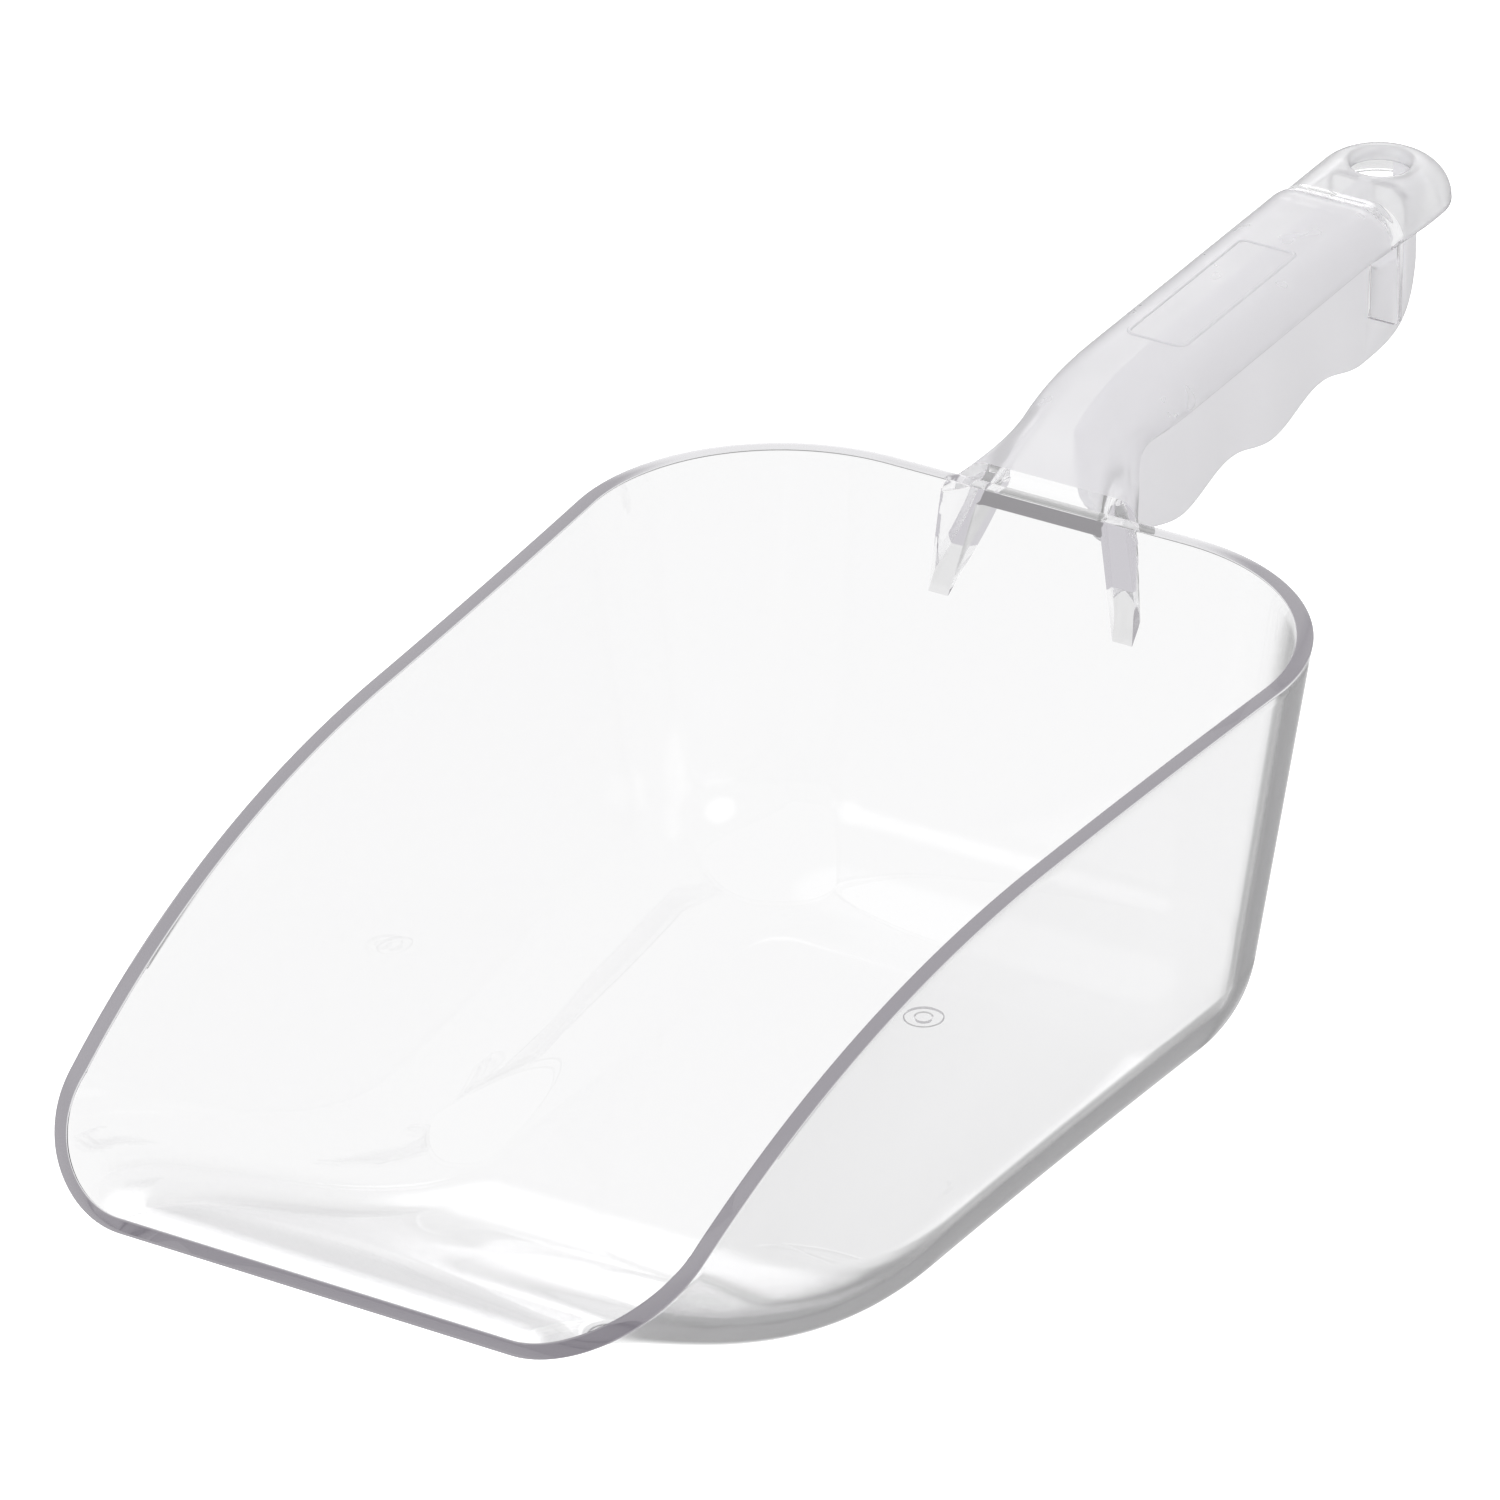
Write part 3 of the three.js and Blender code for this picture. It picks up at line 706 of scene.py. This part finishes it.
def inset(outline, by):
    """A closed outline moved inwards. It runs anticlockwise."""
    moved = []
    for i, p in enumerate(outline):
        before = (p - outline[i - 1]).normalized()
        after = (outline[(i + 1) % len(outline)] - p).normalized()
        inwards = Vector((-before.y - after.y, before.x + after.x)).normalized()
        square = max(0.6, inwards.dot(Vector((-before.y, before.x))))
        moved.append(p + inwards * by / square)
    return moved


def plate(name, outline, low, high, place, slot):
    """A flat plate with rounded edges. place turns a point of the outline and a level into 3-D."""
    quarter = steps(0, pi / 2, 4)
    levels = [(PLATE_ROUNDING * (1 - sin(a)), PLATE_ROUNDING * (1 - cos(a))) for a in quarter]
    rows = [[place(p, low + rise) for p in inset(outline, by)] for by, rise in levels]
    rows += [[place(p, high - rise) for p in inset(outline, by)] for by, rise in levels[::-1]]
    piece = loft(name, rows, lambda row, column: slot)
    piece.data.shade_smooth()
    piece.data.set_sharp_from_angle(angle=SHARP_ANGLE)
    return piece


def finger_wave(back):
    return -RIB_DEPTH - FINGER_DEPTH * cos(2 * pi * (back - LAST_CREST) / FINGER_PITCH)


def arc(centre, radius, start, end, count):
    return [
        Vector((centre[0] + radius * cos(a), centre[1] + radius * sin(a)))
        for a in steps(start, end, count)
    ]


def curve_points(start, first, second, end, count):
    curve = Bezier(start, first, second, end)
    return [Vector(curve.at(t)) for t in steps(0, 1, count)]


def rib_outline():
    """[back, height] round the rib: waved lower edge, tail, hook slot, and under the top plate."""
    hollow, crest = finger_wave(FIRST_HOLLOW), finger_wave(LAST_CREST)
    under = top_height(TAB_CENTRE) - GRIP_PLATE
    start = (RIB_START, top_height(RIB_START) - GRIP_PLATE)
    end = (FIRST_HOLLOW, hollow)
    points = curve_points(
        start, (RIB_START + 1, -14), (FIRST_HOLLOW - 9, hollow), end, RIB_END_STEPS
    )
    points += [Vector((b, finger_wave(b))) for b in steps(FIRST_HOLLOW, LAST_CREST, WAVE_STEPS)[1:]]
    start, end = (LAST_CREST, crest), (RIB_TAIL, -13)
    points += curve_points(
        start, (RIB_TAIL - 8, crest), (RIB_TAIL - 1.5, -26), end, RIB_END_STEPS
    )[1:]
    reach = SHOULDER - SKIRT - RIB_TAIL_CLEARANCE
    shoulder = TAB_CENTRE + GRIP_HALF_WIDTH - SHOULDER
    points.append(Vector((RIB_TAIL, TAB_SKIRT_BOTTOM)))
    points.append(Vector((shoulder + reach, TAB_SKIRT_BOTTOM)))
    first = acos((HOOK_SLOT_END - shoulder) / reach)
    points += arc((shoulder, under - SHOULDER + SKIRT), reach, 0, first, 8)
    slot_start = WEB_Y + WEB_THICKNESS
    slot_radius = (HOOK_SLOT_END - slot_start) / 2
    points += arc(
        (slot_start + slot_radius, slot_radius - HOOK_SLOT_DEPTH), slot_radius, 0, -pi, 24
    )
    points.append(Vector((slot_start, under)))
    top_line = steps(slot_start, RIB_START, RIB_TOP_STEPS)[1:-1]
    points += [Vector((b, top_height(b) - GRIP_PLATE)) for b in top_line]
    return points


def finger_rib():
    def place(p, level):
        return Vector((level, REAR_Y + p.x, DEPTH + p.y))

    half = RIB_THICKNESS / 2
    return plate("handle_finger_rib", rib_outline(), -half, half, place, FROSTED)


def cross_web(side):
    """Half of the plate that crosses the rib in front of the hang hole."""
    top = top_height(TAB_CENTRE) - GRIP_PLATE - WEB_GAP_ABOVE
    inner = RIB_THICKNESS / 2 + WEB_GAP_BESIDE
    corner_centre = (WEB_HALF_WIDTH - WEB_CORNER, WEB_BOTTOM + WEB_CORNER)
    outline = [Vector((inner, WEB_BOTTOM))] + arc(corner_centre, WEB_CORNER, -pi / 2, 0, 5) + [
        Vector((WEB_HALF_WIDTH, top - WEB_BEVEL_HEIGHT)),
        Vector((WEB_HALF_WIDTH - WEB_BEVEL_WIDTH, top)),
        Vector((inner, top)),
    ]

    def place(p, level):
        return Vector((side * p.x, REAR_Y + level, DEPTH + p.y))

    name = "handle_cross_web_" + ("right" if side > 0 else "left")
    return plate(name, outline, WEB_Y, WEB_Y + WEB_THICKNESS, place, CLEAR)


# ---- Moulding, and its cut pieces -----------------------------------------------------------

WALL_OUT = Vector((0, cos(DRAFT), -sin(DRAFT)))
WALL_POINT = Vector((0, REAR_Y, DEPTH)) + CUT_BEHIND_WALL * WALL_OUT
ROOT_POINT = Vector((0, REAR_Y, DEPTH - ROOT_DEPTH - CUT_BELOW_ROOT))
TAB_POINT = Vector((0, REAR_Y + TAB_START, DEPTH))


def moulding():
    body = bowl_body()
    combine(body, gate_cutter(), "DIFFERENCE")
    combine(body, handle_body(), "UNION")
    combine(body, gusset_body(1), "UNION")
    combine(body, gusset_body(-1), "UNION")
    combine(body, hole_cutter(), "DIFFERENCE")
    combine(body, label_frame(), "UNION")
    return body


def cut_piece(name, whole, *planes):
    """The part of the moulding behind each (point, outward) plane, closed by join faces."""
    cut = bmesh.new()
    cut.from_mesh(whole.data)
    for point, outward in planes:
        everything = cut.verts[:] + cut.edges[:] + cut.faces[:]
        done = bmesh.ops.bisect_plane(
            cut, geom=everything, dist=1e-7, plane_co=point * MM, plane_no=outward, clear_outer=True
        )
        edges = [e for e in done["geom_cut"] if isinstance(e, bmesh.types.BMEdge)]
        open_edges = [e for e in edges if e.is_boundary]
        if open_edges:
            filled = bmesh.ops.holes_fill(cut, edges=open_edges, sides=0)
            for face in filled["faces"]:
                face.material_index = JOIN
    turn_outwards(cut)
    mesh = bpy.data.meshes.new(name)
    cut.to_mesh(mesh)
    cut.free()
    for material in SCOOP_MATERIALS:
        mesh.materials.append(material)
    mesh.shade_smooth()
    mesh.set_sharp_from_angle(angle=SHARP_ANGLE)
    piece = bpy.data.objects.new(name, mesh)
    bpy.context.scene.collection.objects.link(piece)
    return piece


# ---- Materials ------------------------------------------------------------------------------

PLASTIC_IOR = 1.585
PLASTIC_DENSITY = (3.2, 3.4, 3.0)  # how fast red, green and blue are absorbed, per metre
SURFACE_TINT = (0.962, 0.962, 0.964, 1)
SHADOW_TINT = (0.975, 0.975, 0.98, 1)

GUIDED_AFTER = 2.5  # light counts as trapped after more reflections inside than this
GUIDED_LEAK_FROM = (0.45, 0.65)  # steepness over which trapped light turns into leaking light
GUIDED_LEAK = (0.85, 0.845, 0.86, 1)
GUIDED_GREY = (0.385, 0.37, 0.397, 1)
LEVEL_RAYS = (0.44, 0.54)  # rise of a ray over which a face's painted grey shade fades out
OUTLINE_FROM = (0.05, 0.5)  # steepness over which the painted shade of a dark outline fades out
# share of the colour left at an outline, as painted shade
OUTLINE_DARK = 0.6

# Patterns: repeats per metre, then height in metres
GRAIN_SCALE, GRAIN_HEIGHT = 2500, 0.000008  # fine texture of the mould
WAVE_SCALE, WAVE_HEIGHT = 30, 0.00003  # faint waviness of the clear faces
PATCH_SCALE = 90  # rougher and smoother patches of the textured faces
PATCH_RANGE = (0.3, 0.7)
PATCH_ROUGHNESS = (0.85, 1.15)  # as shares of the face's roughness
GRAIN_DETAIL, WAVE_DETAIL, PATCH_DETAIL = 4, 1, 2
SEEN_FROM_INSIDE = 0.45  # how much of the milkiness shows from inside the plastic


def new_material(name):
    material = bpy.data.materials.new(name)
    material.use_nodes = True
    material.node_tree.nodes.clear()
    return material, material.node_tree.nodes, material.node_tree.links


def feed(links, value, socket):
    """Gives a socket a fixed value, or the output of another node."""
    if isinstance(value, bpy.types.NodeSocket):
        links.new(value, socket)
    else:
        socket.default_value = value


def calculate(nodes, links, operation, *values):
    step = nodes.new("ShaderNodeMath")
    step.operation = operation
    for value, socket in zip(values, step.inputs):
        feed(links, value, socket)
    return step.outputs[0]


def between(nodes, links, value, over, result):
    """A smooth step in value, from one result to another over a range."""
    step = nodes.new("ShaderNodeMapRange")
    step.interpolation_type = "SMOOTHSTEP"
    step.inputs["From Min"].default_value, step.inputs["From Max"].default_value = over
    step.inputs["To Min"].default_value, step.inputs["To Max"].default_value = result
    links.new(value, step.inputs["Value"])
    return step.outputs["Result"]


def mixed_colour(nodes, links, factor, first, second):
    """The first colour where factor is 0, the second where it is 1."""
    shade = nodes.new("ShaderNodeMix")
    shade.data_type = "RGBA"
    links.new(factor, shade.inputs["Factor"])
    feed(links, first, shade.inputs["A"])
    feed(links, second, shade.inputs["B"])
    return shade.outputs["Result"]


def mixed_shaders(nodes, links, factor, first, second):
    """The first shader where factor is 0, the second where it is 1."""
    blend = nodes.new("ShaderNodeMixShader")
    for value, socket in zip((factor, first, second), blend.inputs):
        links.new(value, socket)
    return blend.outputs[0]


def glow(nodes, links, colour):
    light = nodes.new("ShaderNodeEmission")
    feed(links, colour, light.inputs["Color"])
    return light.outputs[0]


def ray(nodes, fact):
    """A fact about the ray of light, such as its length."""
    return nodes.new("ShaderNodeLightPath").outputs[fact]


def surface(nodes, fact):
    """A fact about the place where the ray meets the surface."""
    return nodes.new("ShaderNodeNewGeometry").outputs[fact]


def seen_steepness(nodes, links):
    """1 where a ray meets the surface squarely, 0 where it runs along it."""
    steepness = nodes.new("ShaderNodeVectorMath")
    steepness.operation = "DOT_PRODUCT"
    links.new(surface(nodes, "Incoming"), steepness.inputs[0])
    links.new(surface(nodes, "Normal"), steepness.inputs[1])
    return steepness.outputs["Value"]


def absorbed_colour(nodes, links):
    """A faint tint on the way in. Inside, darker with the length that light has run."""
    kept = nodes.new("ShaderNodeCombineColor")
    for channel, density in zip(("Red", "Green", "Blue"), PLASTIC_DENSITY):
        lost = calculate(nodes, links, "MULTIPLY", ray(nodes, "Ray Length"), -density)
        links.new(calculate(nodes, links, "EXPONENT", lost), kept.inputs[channel])
    inside = surface(nodes, "Backfacing")
    return mixed_colour(nodes, links, inside, SURFACE_TINT, kept.outputs["Color"])


def light_passes(nodes, links, shader):
    """Lamps and bounced light go straight through, so a clear piece throws hardly any shadow."""
    through = nodes.new("ShaderNodeBsdfTransparent")
    through.inputs["Color"].default_value = SHADOW_TINT
    lamp, bounced = ray(nodes, "Is Shadow Ray"), ray(nodes, "Is Diffuse Ray")
    passing = calculate(nodes, links, "MAXIMUM", lamp, bounced)
    output = nodes.new("ShaderNodeOutputMaterial")
    whole_surface = mixed_shaders(nodes, links, passing, shader, through.outputs[0])
    links.new(whole_surface, output.inputs["Surface"])


def shaded_inside(nodes, links, shader, shade):
    """Painted shade: a face glows an even grey to rays that run nearly level inside the plastic."""
    parts = nodes.new("ShaderNodeSeparateXYZ")
    links.new(surface(nodes, "Incoming"), parts.inputs["Vector"])
    level = between(nodes, links, parts.outputs["Z"], LEVEL_RAYS, (1, 0))
    seen = calculate(nodes, links, "MULTIPLY", level, surface(nodes, "Backfacing"))
    return mixed_shaders(nodes, links, seen, shader, glow(nodes, links, shade))


def guided_light(nodes, links, shader):
    """Light that has run along inside a wall, from face to face, ends as an even grey.

    The grey is a stand-in that shines by itself, and it doesn't follow the light of the scene.
    """
    deep = calculate(nodes, links, "GREATER_THAN", ray(nodes, "Glossy Depth"), GUIDED_AFTER)
    trapped = calculate(nodes, links, "MULTIPLY", deep, surface(nodes, "Backfacing"))
    leak = between(nodes, links, seen_steepness(nodes, links), GUIDED_LEAK_FROM, (0, 1))
    grey = mixed_colour(nodes, links, leak, GUIDED_GREY, GUIDED_LEAK)
    return mixed_shaders(nodes, links, trapped, shader, glow(nodes, links, grey))


def noise(nodes, links, scale, detail):
    """A grey pattern fixed to the part. scale is in repeats per metre."""
    place = nodes.new("ShaderNodeTexCoord")
    pattern = nodes.new("ShaderNodeTexNoise")
    pattern.inputs["Scale"].default_value = scale
    pattern.inputs["Detail"].default_value = detail
    links.new(place.outputs["Object"], pattern.inputs["Vector"])
    return pattern.outputs["Fac"]


def relief(nodes, links, pattern, height):
    bump = nodes.new("ShaderNodeBump")
    bump.inputs["Distance"].default_value = height
    links.new(pattern, bump.inputs["Height"])
    return bump.outputs["Normal"]


def outline_shade(nodes, links, colour):
    """The colour with painted shade: darker where the surface turns away from the eye."""
    facing = between(nodes, links, seen_steepness(nodes, links), OUTLINE_FROM, (0, 1))
    dark = [OUTLINE_DARK * c for c in colour[:3]] + [1]
    return mixed_colour(nodes, links, facing, dark, colour)


def milky_layer(nodes, links, shader, grain, milky, colour):
    """Scatters a share of the light at the surface, and less of it as seen from inside. Its colour
    carries painted shade at the outlines.
    """
    scatter = nodes.new("ShaderNodeBsdfDiffuse")
    links.new(outline_shade(nodes, links, colour), scatter.inputs["Color"])
    links.new(grain, scatter.inputs["Normal"])
    share = nodes.new("ShaderNodeMapRange")
    share.inputs["To Min"].default_value = milky
    share.inputs["To Max"].default_value = milky * SEEN_FROM_INSIDE
    links.new(surface(nodes, "Backfacing"), share.inputs["Value"])
    return mixed_shaders(nodes, links, share.outputs["Result"], shader, scatter.outputs[0])


def polycarbonate(name, roughness=0, milky=0, colour=None, shade=None):
    """Smooth and clear, or with a surface that blurs and partly hides what is behind.

    shade is the grey of a painted shade, a glow that a face shows to level rays inside the plastic,
    where it looks dark.
    """
    material, nodes, links = new_material(name)
    glass = nodes.new("ShaderNodeBsdfGlass")
    glass.inputs["IOR"].default_value = PLASTIC_IOR
    links.new(absorbed_colour(nodes, links), glass.inputs["Color"])
    if roughness:
        grain = relief(nodes, links, noise(nodes, links, GRAIN_SCALE, GRAIN_DETAIL), GRAIN_HEIGHT)
        patches = noise(nodes, links, PATCH_SCALE, PATCH_DETAIL)
        spread = [share * roughness for share in PATCH_ROUGHNESS]
        links.new(between(nodes, links, patches, PATCH_RANGE, spread), glass.inputs["Roughness"])
    else:
        grain = relief(nodes, links, noise(nodes, links, WAVE_SCALE, WAVE_DETAIL), WAVE_HEIGHT)
        glass.inputs["Roughness"].default_value = 0
    links.new(grain, glass.inputs["Normal"])
    shader = glass.outputs[0]
    if milky:
        shader = milky_layer(nodes, links, shader, grain, milky, colour)
    shader = guided_light(nodes, links, shader)
    if shade:
        shader = shaded_inside(nodes, links, shader, shade)
    light_passes(nodes, links, shader)
    return material


def join_material():
    """The cut faces between pieces of one moulding, which light crosses unchanged."""
    material, nodes, links = new_material("join_faces")
    through = nodes.new("ShaderNodeBsdfTransparent")
    output = nodes.new("ShaderNodeOutputMaterial")
    links.new(through.outputs[0], output.inputs["Surface"])
    return material


SATIN_LILAC = (0.8, 0.79, 0.82, 1)
SCOOP_MATERIALS = [
    polycarbonate("clear_polycarbonate"),
    polycarbonate("satin_polycarbonate", 0.32, 0.55, SATIN_LILAC),
    join_material(),
    polycarbonate("polished_polycarbonate", 0.2, 0.5, (0.76, 0.755, 0.775, 1)),
    polycarbonate("frosted_polycarbonate", 0.4, 0.75, (0.9, 0.89, 0.915, 1)),
    # painted shade: an even grey glow that the root's inside faces show from within
    polycarbonate("shaded_polycarbonate", shade=(0.3, 0.292, 0.305, 1)),
    # hazy finish, with painted shade: a lilac-grey glow seen from inside the gussets
    polycarbonate("haze_and_shade_polycarbonate", 0.3, 0.4, SATIN_LILAC, (0.62, 0.605, 0.64, 1)),
]


# ---- Object ---------------------------------------------------------------------------------

whole = moulding()
gusset_planes = ((WALL_POINT, -WALL_OUT), (ROOT_POINT, UP))
built = {
    "bowl": cut_piece("bowl_clear", whole, (WALL_POINT, WALL_OUT)),
    "handle_shell": cut_piece(
        "handle_grip", whole, (WALL_POINT, -WALL_OUT), (ROOT_POINT, -UP), (TAB_POINT, BACK)
    ),
    "hang_tab": cut_piece("handle_hang_tab", whole, (TAB_POINT, -BACK)),
    "gusset_left": cut_piece("handle_gusset_left", whole, *gusset_planes, (Vector(), RIGHT)),
    "gusset_right": cut_piece("handle_gusset_right", whole, *gusset_planes, (Vector(), -RIGHT)),
}
bpy.data.objects.remove(whole)
built["finger_rib"] = finger_rib()
built["cross_web_left"] = cross_web(-1)
built["cross_web_right"] = cross_web(1)
for node, piece in built.items():
    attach(piece, "root")
    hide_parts(node)


# ---- Studio ---------------------------------------------------------------------------------

# The flags are a dark ring round the middle of the view: angles where it starts and ends
FLAGS_FROM, FLAGS_TO = (radians(6), radians(14)), (radians(36), radians(50))
FLAGS_TOP = (0.04, 0.18)  # rise in the view over which the ring fades towards the top
FLAGS_TOP_LEFT = 0.25  # how much of the dark stays overhead
FLAG_BRIGHTNESS = 0.3
EVEN_LIGHT = 0.8  # what matt surfaces get from every side
SOFT_BOX_EDGE = 6
SOFT_BOXES = (  # azimuth, elevation and half angle in degrees, and strength
    (73, 8, 8, 1.2),
    (-18, 8, 7, 1.2),
    (-153, 10, 9, 1.6),
    (-70, 62, 20, 0.4),
)
FLOOR_GLOW = 0.75
FLOOR_HALF_SIZE = 30.0  # metres
FLOOR_GAP = 0.0003
PAPER_COLOUR = (0.9, 0.9, 0.9, 1)

VIEW_AZIMUTH, VIEW_ELEVATION = 30.46, 28.93
VIEW_DISTANCE = 2.2537
FOCAL_LENGTH = 307.8
FRAMING = Vector((-0.0335, 0.0068, -0.0038))  # from the part's middle to the point looked at


def towards(azimuth, elevation):
    """A direction in degrees: azimuth 0 is the front, on the lip's side, and it turns right."""
    a, e = radians(azimuth), radians(elevation)
    return Vector((sin(a) * cos(e), -cos(a) * cos(e), sin(e)))


def flags(nodes, links, direction):
    """How dark the flags are in a direction: beside and below the part as the camera sees it."""
    to_camera = nodes.new("ShaderNodeVectorTransform")
    to_camera.vector_type = "VECTOR"
    to_camera.convert_from = "WORLD"
    to_camera.convert_to = "CAMERA"
    links.new(direction, to_camera.inputs["Vector"])
    parts = nodes.new("ShaderNodeSeparateXYZ")
    links.new(to_camera.outputs["Vector"], parts.inputs["Vector"])
    turned = calculate(nodes, links, "ARCCOSINE", parts.outputs["Z"])
    dark = between(nodes, links, turned, FLAGS_FROM, (0, 1 - FLAG_BRIGHTNESS))
    outwards = between(nodes, links, turned, FLAGS_TO, (1, 0))
    upwards = between(nodes, links, parts.outputs["Y"], FLAGS_TOP, (1, FLAGS_TOP_LEFT))
    dark = calculate(nodes, links, "MULTIPLY", dark, outwards)
    return calculate(nodes, links, "MULTIPLY", dark, upwards)


def soft_box(nodes, links, direction, azimuth, elevation, radius, strength):
    facing = nodes.new("ShaderNodeVectorMath")
    facing.operation = "DOT_PRODUCT"
    facing.inputs[1].default_value = towards(azimuth, elevation)
    links.new(direction, facing.inputs[0])
    edge = [cos(radians(radius + side * SOFT_BOX_EDGE)) for side in (1, -1)]
    return between(nodes, links, facing.outputs["Value"], edge, (0, strength))


def bright_field(nodes, links, direction):
    """Brightness of the studio in a direction: white behind the part as the camera sees it, with
    dark flags beside and below it, and soft boxes. It gives clear edges their grey outlines."""
    total = calculate(nodes, links, "SUBTRACT", 1, flags(nodes, links, direction))
    for box in SOFT_BOXES:
        total = calculate(nodes, links, "ADD", total, soft_box(nodes, links, direction, *box))
    even = nodes.new("ShaderNodeMix")
    links.new(ray(nodes, "Is Diffuse Ray"), even.inputs["Factor"])
    links.new(total, even.inputs["A"])
    even.inputs["B"].default_value = EVEN_LIGHT
    return even.outputs["Result"]


def floor_material():
    """White paper, lit evenly. Clear pieces see it by the bright field's rule."""
    material, nodes, links = new_material("studio_floor")
    away = nodes.new("ShaderNodeVectorMath")
    away.operation = "SCALE"
    away.inputs["Scale"].default_value = -1
    links.new(surface(nodes, "Incoming"), away.inputs[0])
    seen = nodes.new("ShaderNodeEmission")
    links.new(bright_field(nodes, links, away.outputs["Vector"]), seen.inputs["Strength"])
    paper = nodes.new("ShaderNodeBsdfDiffuse")
    paper.inputs["Color"].default_value = PAPER_COLOUR
    lit = nodes.new("ShaderNodeEmission")
    lit.inputs["Strength"].default_value = FLOOR_GLOW
    both = nodes.new("ShaderNodeAddShader")
    links.new(paper.outputs[0], both.inputs[0])
    links.new(lit.outputs[0], both.inputs[1])
    by_eye = ray(nodes, "Is Camera Ray")
    output = nodes.new("ShaderNodeOutputMaterial")
    whole_surface = mixed_shaders(nodes, links, by_eye, seen.outputs[0], both.outputs[0])
    links.new(whole_surface, output.inputs["Surface"])
    return material


def floor():
    mesh = bpy.data.meshes.new("studio_floor")
    size, height = FLOOR_HALF_SIZE, cad_bounds[0].z - FLOOR_GAP
    corners = [(-size, -size), (size, -size), (size, size), (-size, size)]
    mesh.from_pydata([(x, y, height) for x, y in corners], [], [(0, 1, 2, 3)])
    mesh.materials.append(floor_material())
    plane = bpy.data.objects.new("studio_floor", mesh)
    bpy.context.scene.collection.objects.link(plane)


def soft_light(name, azimuth, elevation, distance, size, power):
    """A square lamp that looks at the middle of the part."""
    lamp = bpy.data.lights.new(name, "AREA")
    lamp.size = size
    lamp.energy = power
    holder = bpy.data.objects.new(name, lamp)
    holder.visible_glossy = False
    holder.visible_transmission = False
    bpy.context.scene.collection.objects.link(holder)
    middle = (cad_bounds[0] + cad_bounds[1]) / 2
    away = towards(azimuth, elevation)
    holder.location = middle + away * distance
    holder.rotation_euler = away.to_track_quat("Z", "Y").to_euler()


def surroundings():
    world = bpy.data.worlds.new("studio")
    world.use_nodes = True
    nodes, links = world.node_tree.nodes, world.node_tree.links
    place = nodes.new("ShaderNodeTexCoord")
    background = nodes["Background"]
    links.new(bright_field(nodes, links, place.outputs["Generated"]), background.inputs["Strength"])
    background.inputs["Color"].default_value = (1, 1, 1, 1)
    bpy.context.scene.world = world


def camera():
    lens = bpy.data.cameras.new("camera")
    lens.lens = FOCAL_LENGTH
    lens.sensor_width = 36
    lens.clip_end = 100
    holder = bpy.data.objects.new("camera", lens)
    bpy.context.scene.collection.objects.link(holder)
    back = towards(VIEW_AZIMUTH, VIEW_ELEVATION)
    middle = (cad_bounds[0] + cad_bounds[1]) / 2
    holder.location = middle + FRAMING + back * VIEW_DISTANCE
    holder.rotation_mode = "QUATERNION"
    holder.rotation_quaternion = back.to_track_quat("Z", "Y")
    bpy.context.scene.camera = holder


floor()
surroundings()
soft_light("key_light", azimuth=-20, elevation=60, distance=1.4, size=0.8, power=3)
camera()
bpy.context.scene.view_settings.view_transform = "Standard"
